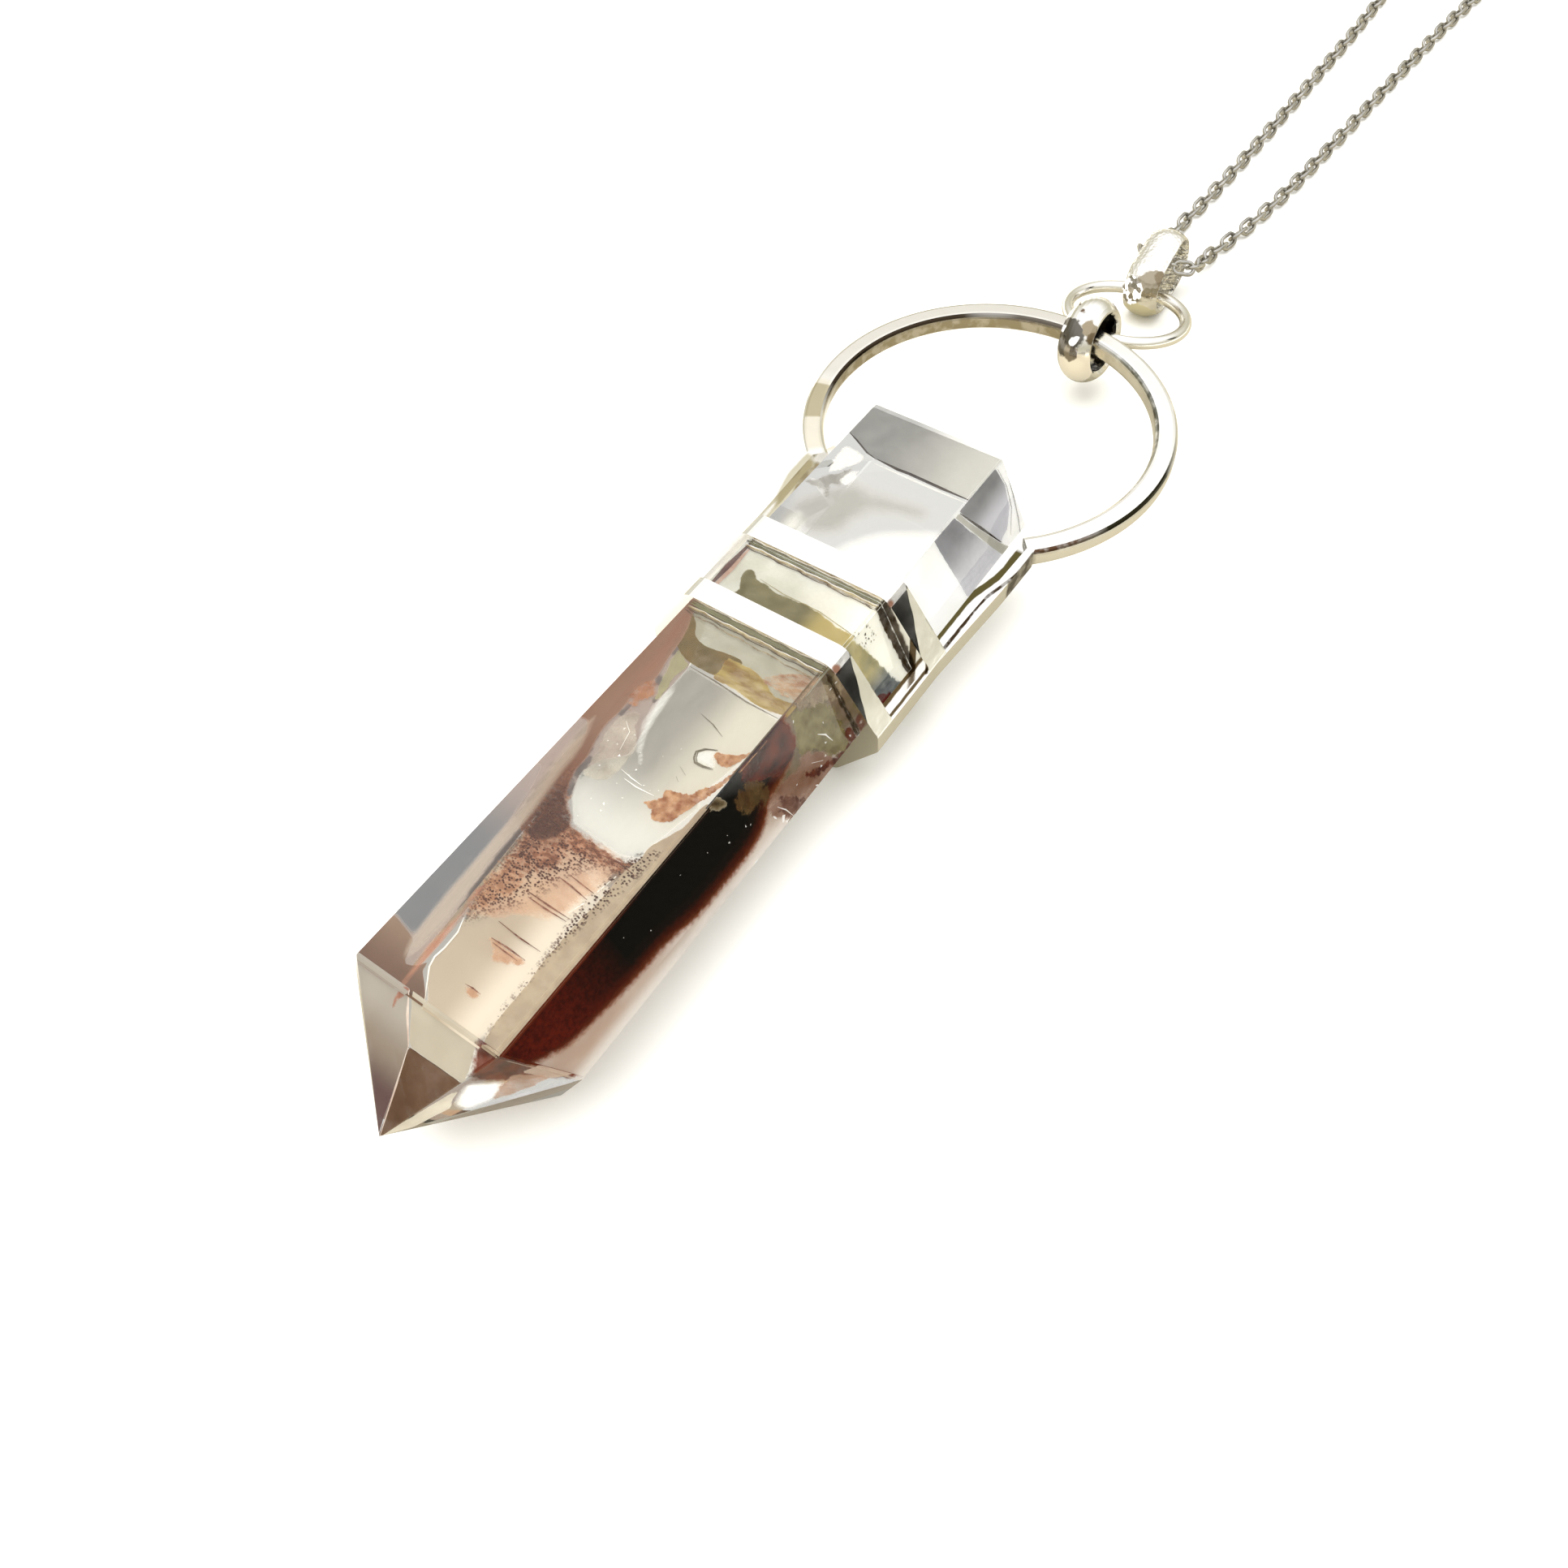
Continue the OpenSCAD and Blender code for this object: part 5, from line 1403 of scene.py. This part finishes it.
def lay_band_reflections():
    """Beside each band the crystal mirrors its silver in thin wrinkled lines, dark, golden and rosy."""
    dark = stain("dark_reflection", ("#2E2410", "#4A3A1C"), (0.75, 1), grain=1.5)
    gold = stain("golden_reflection", ("#857048", "#B5A67C"), (0.6, 1), grain=0.6)
    rosy = stain("rosy_reflection", ("#4E3E2A", "#8A7A5C"), (0.3, 1), grain=0.6)
    white = stain("white_line_reflection", ("#FFFFFF", "#EEE6D0"), (0.4, 1), grain=1.1)
    olive = stain("olive_reflection", ("#6E6C4A", "#8C8A68"), (0.8, 1), grain=1.4)
    for name, edge in (("front", -1.03), ("rear", 6.42)):
        lay_lines(name + "_reflection_olive", "top", 0.042, [(0.2, wrinkle(edge - 0.08, 0))], olive)
        lay_lines(name + "_reflection_dark", "top", 0.044, [
            (0.1, wrinkle(edge - 0.2, 0.03)), (0.09, wrinkle(edge - 0.62, 0.05, -0.1)),
        ], dark)
        lay_lines(name + "_reflection_gold", "top", 0.046, [(0.2, wrinkle(edge - 0.4, 0.04))], gold)
        lay_lines(name + "_reflection_rosy", "top", 0.044, [(0.12, wrinkle(edge - 0.5, 0.05, -0.1))], rosy)
        lay_lines(name + "_reflection_white", "top", 0.044, [(0.08, wrinkle(edge - 0.32, 0.05))], white)
    lay_lines("front_reflection_far", "top", 0.068, [(0.14, wrinkle(-1.9, 0.06, -0.3))], rosy)
    shade = stain("band_shade_film", ("#241808", "#3C2C14"), (0.85, 1), soft=0.12, ragged=0.12, grain=0.8)
    lay_sheet("rear_band_shade", "right", 0.068, [
        (-0.2, 5.7), (1.6, 5.6), (4.2, 5.7), (6.5, 5.8), (7.4, 5.9), (7.4, 6.5), (0, 6.5),
    ], shade, spacing=0.15, crisp=True)
    lay_sheet("front_band_shade", "right", 0.068, [
        (0.3, -1.25), (1.2, -1.25), (3.1, -1.3), (5, -1.3), (6.9, -1.35), (7.1, -0.9), (0.3, -0.9),
    ], shade, spacing=0.15, crisp=True)


def lay_between_bands():
    """Between the bands: pale crystal, a dark olive fin that turns gold and, low on the right face, into
    painted blue-grey shade, and a red-brown spot low on the right."""
    pale = stain("cream_between", ("#ABAB9B", "#C9C8BA"), (0.6, 0.9), soft=0.6, ragged=0.2, grain=2.5,
                 turns=[("X", -2, 3, "#D8D6CA"), ("X", 3, 6, "#F4F2E6")])
    lay_sheet("between_pale", "top", 0.22, [(-6.8, 0.8), (-6.8, 6.6), (7, 6.6), (7, 0.8)], pale, crisp=True)
    lay_sheet("between_side", "right", 0.16, [(-1, 0.8), (-1, 6.6), (9, 6.6), (9, 0.8)],
              stain("cream_side_between", ("#F4F2E6", "#FFFFF4"), (0.9, 1), soft=0.1, ragged=0, grain=2),
              crisp=True)
    edge = stain("purple_brown_seam", ("#4A3634", "#6E4C42"), (0.85, 1), grain=0.8, glow=0.1)
    lay_lines("between_left_seam", "top", 0.06, [(0.5, [(-5.85, 0.4), (-5.85, 3.5), (-5.75, 6.9)])], edge)
    blush = stain("between_blush", ("#9A7868", "#AE9080"), (0.6, 0.9), grain=0.8)
    lay_lines("between_left_blush", "top", 0.08, [(0.5, [(-5.5, 0.4), (-5.5, 3.2), (-5.5, 5.8)])], blush)
    fin = stain("olive_fin", ("#5E5632", "#746C48"), (0.9, 1), soft=0.15, ragged=0.12, grain=1,
                turns=[("X", 1.6, 3.6, "#A8985E")])
    lay_sheet("fin_top", "top", 0.14, [
        (-3.7, 1.9), (-4.4, 3), (-4.6, 3.9), (-4, 4.2), (-3.1, 3.6), (-2.1, 3.4), (-0.6, 3.3), (1.2, 3.4),
        (2.7, 3.3), (4.1, 3), (5.6, 2.8), (7, 2.4), (7, 0.9), (-3.7, 0.9),
    ], fin, spacing=0.25)
    # The fin's side turns into painted blue-grey shade towards the bottom
    side_fin = stain("grey_gold_fin", ("#7E7644", "#B4A668"), (0.85, 1), soft=0.25, ragged=0.2, grain=0.9,
                     turns=[("Z", 9.6, 7.4, "#545A5C")])
    lay_sheet("fin_side", "right", 0.12, [
        (-1, 1.9), (-0.6, 2.3), (1.3, 3), (3.4, 3.8), (5.6, 4.6), (7.4, 5.2), (7.4, 0.9), (-1, 0.9),
    ], side_fin, spacing=0.25)
    lay_sheet("blood_spot", "right", 0.08, [
        (5.6, 2.1), (6, 3.1), (6.5, 3.7), (7.1, 3.4), (6.9, 2.2), (6.6, 1.4),
    ], stain("blood_red_spot", ("#3E0E08", "#561A10"), (0.9, 1), soft=0.15, ragged=0.15,
             grain=0.6), spacing=0.15)
    lay_lines("fin_edge", "top", 0.12, [
        (0.08, [(-3, 3.65), (-0.6, 3.35), (2.7, 3.35), (5.6, 2.85), (6.3, 2.7)]),
    ], stain("fin_edge_line", ("#6E6234", "#8A7C48"), (0.6, 0.95), grain=0.8))
    grains = dashes("dark_specks", "#3E3426", 0.2, 0.25, 0.55, soft=0.4)
    lay_sheet("speck_patch", "right", 0.1,
              [(-0.2, 2.6), (-0.1, 4.2), (1.2, 4.8), (2.4, 4.6), (2, 3.4), (0.6, 2.6)], grains, spacing=0.2)


def lay_inclusions():
    lay_left_side()
    lay_window()
    lay_lower_top()
    lay_mass()
    lay_right_side()
    lay_point()
    lay_clear_end()
    lay_between_bands()
    lay_band_reflections()


# Table and light

TABLE_REACH = 1200
CARD_DIRECTION = (0.76, 0.54, 0.36)
CARD_EDGE = 0.982
CARD_SOFTNESS = 0.004
CARD_SHADE = 0.02
SKY_STRENGTH = 1.25


def make_table():
    reach = TABLE_REACH * MM
    mesh = bpy.data.meshes.new("table")
    corners = [(-reach, -reach, 0), (reach, -reach, 0), (reach, reach, 0), (-reach, reach, 0)]
    mesh.from_pydata(corners, [], [(0, 1, 2, 3)])
    table = bpy.data.objects.new("table", mesh)
    bpy.context.scene.collection.objects.link(table)
    mesh.materials.append(table_white())


def make_room():
    """A studio room with a bright ceiling. What the crystal bends into view of it is greyer, as a lamp
    lights the table alone, and one dark card stands far off to the right for the silver to mirror. Seen
    straight, the room is a plain pale backdrop."""
    world = bpy.data.worlds.new("studio_room")
    world.use_nodes = True
    tree = world.node_tree
    tree.nodes.clear()
    direction = add(tree, "TexCoord")["Generated"]
    height = add(tree, "SeparateXYZ", {"Vector": direction})["Z"]
    room = add(tree, "ValToRGB", {"Fac": height}, [
        (0, "#C4C0AE"), (0.2, "#B4B09C"), (0.45, "#D6D4CC"), (0.7, "#FFFFFF"),
    ])["Color"]
    patches = add(tree, "TexNoise", {"Vector": direction, "Scale": 1.6, "Detail": 1})["Fac"]
    patchy = add(tree, "MapRange", {
        "Value": patches, "From Min": 0.35, "From Max": 0.65, "To Min": -0.12, "To Max": 0.12,
    })["Result"]
    shifted = add(tree, "Math", {0: height, 1: patchy}, operation="ADD")["Value"]
    bent = add(tree, "ValToRGB", {"Fac": shifted}, [
        (0, "#6C7072"), (0.3, "#8E9294"), (0.6, "#BFC1C1"), (0.8, "#DEDDDA"), (1, "#F4F2EE"),
    ])["Color"]
    card = add(tree, "VectorMath", {0: direction, 1: CARD_DIRECTION}, operation="DOT_PRODUCT")["Value"]
    shade = add(tree, "MapRange", {
        "Value": card, "From Min": CARD_EDGE, "From Max": CARD_EDGE + CARD_SOFTNESS,
        "To Min": 1, "To Max": CARD_SHADE,
    })["Result"]
    mirrored = add(tree, "VectorMath", {0: room, "Scale": shade}, operation="SCALE")["Vector"]
    ray = add(tree, "LightPath")
    seen = tint(tree, mirrored, bent, ray["Is Transmission Ray"])
    backdrop = tint(tree, seen, "#DBD9D4", ray["Is Camera Ray"])
    sky = add(tree, "Background", {"Color": backdrop, "Strength": SKY_STRENGTH})["Background"]
    add(tree, "OutputWorld", {"Surface": sky})
    bpy.context.scene.world = world


def add_softbox(name, place, target, size, power, colour):
    """Adds a soft lamp at a place, turned to a target. Neither the silver nor the crystal shows its
    shape."""
    data = bpy.data.lights.new(name, "AREA")
    data.shape = "RECTANGLE"
    data.size, data.size_y = (side * MM for side in size)
    data.energy = power
    data.color = linear(colour)[:3]
    light = bpy.data.objects.new(name, data)
    aim = (Vector(target) - Vector(place)).to_track_quat("-Z", "Y")
    light.matrix_world = Matrix.Translation(Vector(place) * MM) @ aim.to_matrix().to_4x4()
    light.visible_transmission = False
    light.visible_glossy = False
    bpy.context.scene.collection.objects.link(light)


def finish_node(node, material):
    """Gives a node of the frame its material."""
    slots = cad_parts[node].data.materials
    slots.clear()
    slots.append(material)


make_camera()
make_table()
make_room()
add_softbox("overhead_softbox", (-200, 200, 800), (0, 20, 0), (1300, 1300), 11, "#FFFDF8")
bpy.context.scene.view_settings.view_transform = "Standard"

silver = sterling_silver()
finish_node("jump_ring", silver)
finish_node("clasp", silver)
finish_node("silver_frame", creased_silver())
finish_node("ring_link", domed_silver("polished_cast_silver", RING_LINK_SPOTS))
finish_node("chain_bail", domed_silver("hammered_cast_silver", BAIL_SPOTS, BAIL_HAMMERED))
finish_node("crystal_point", polished_quartz())
make_chain(chain_silver())
lay_inclusions()
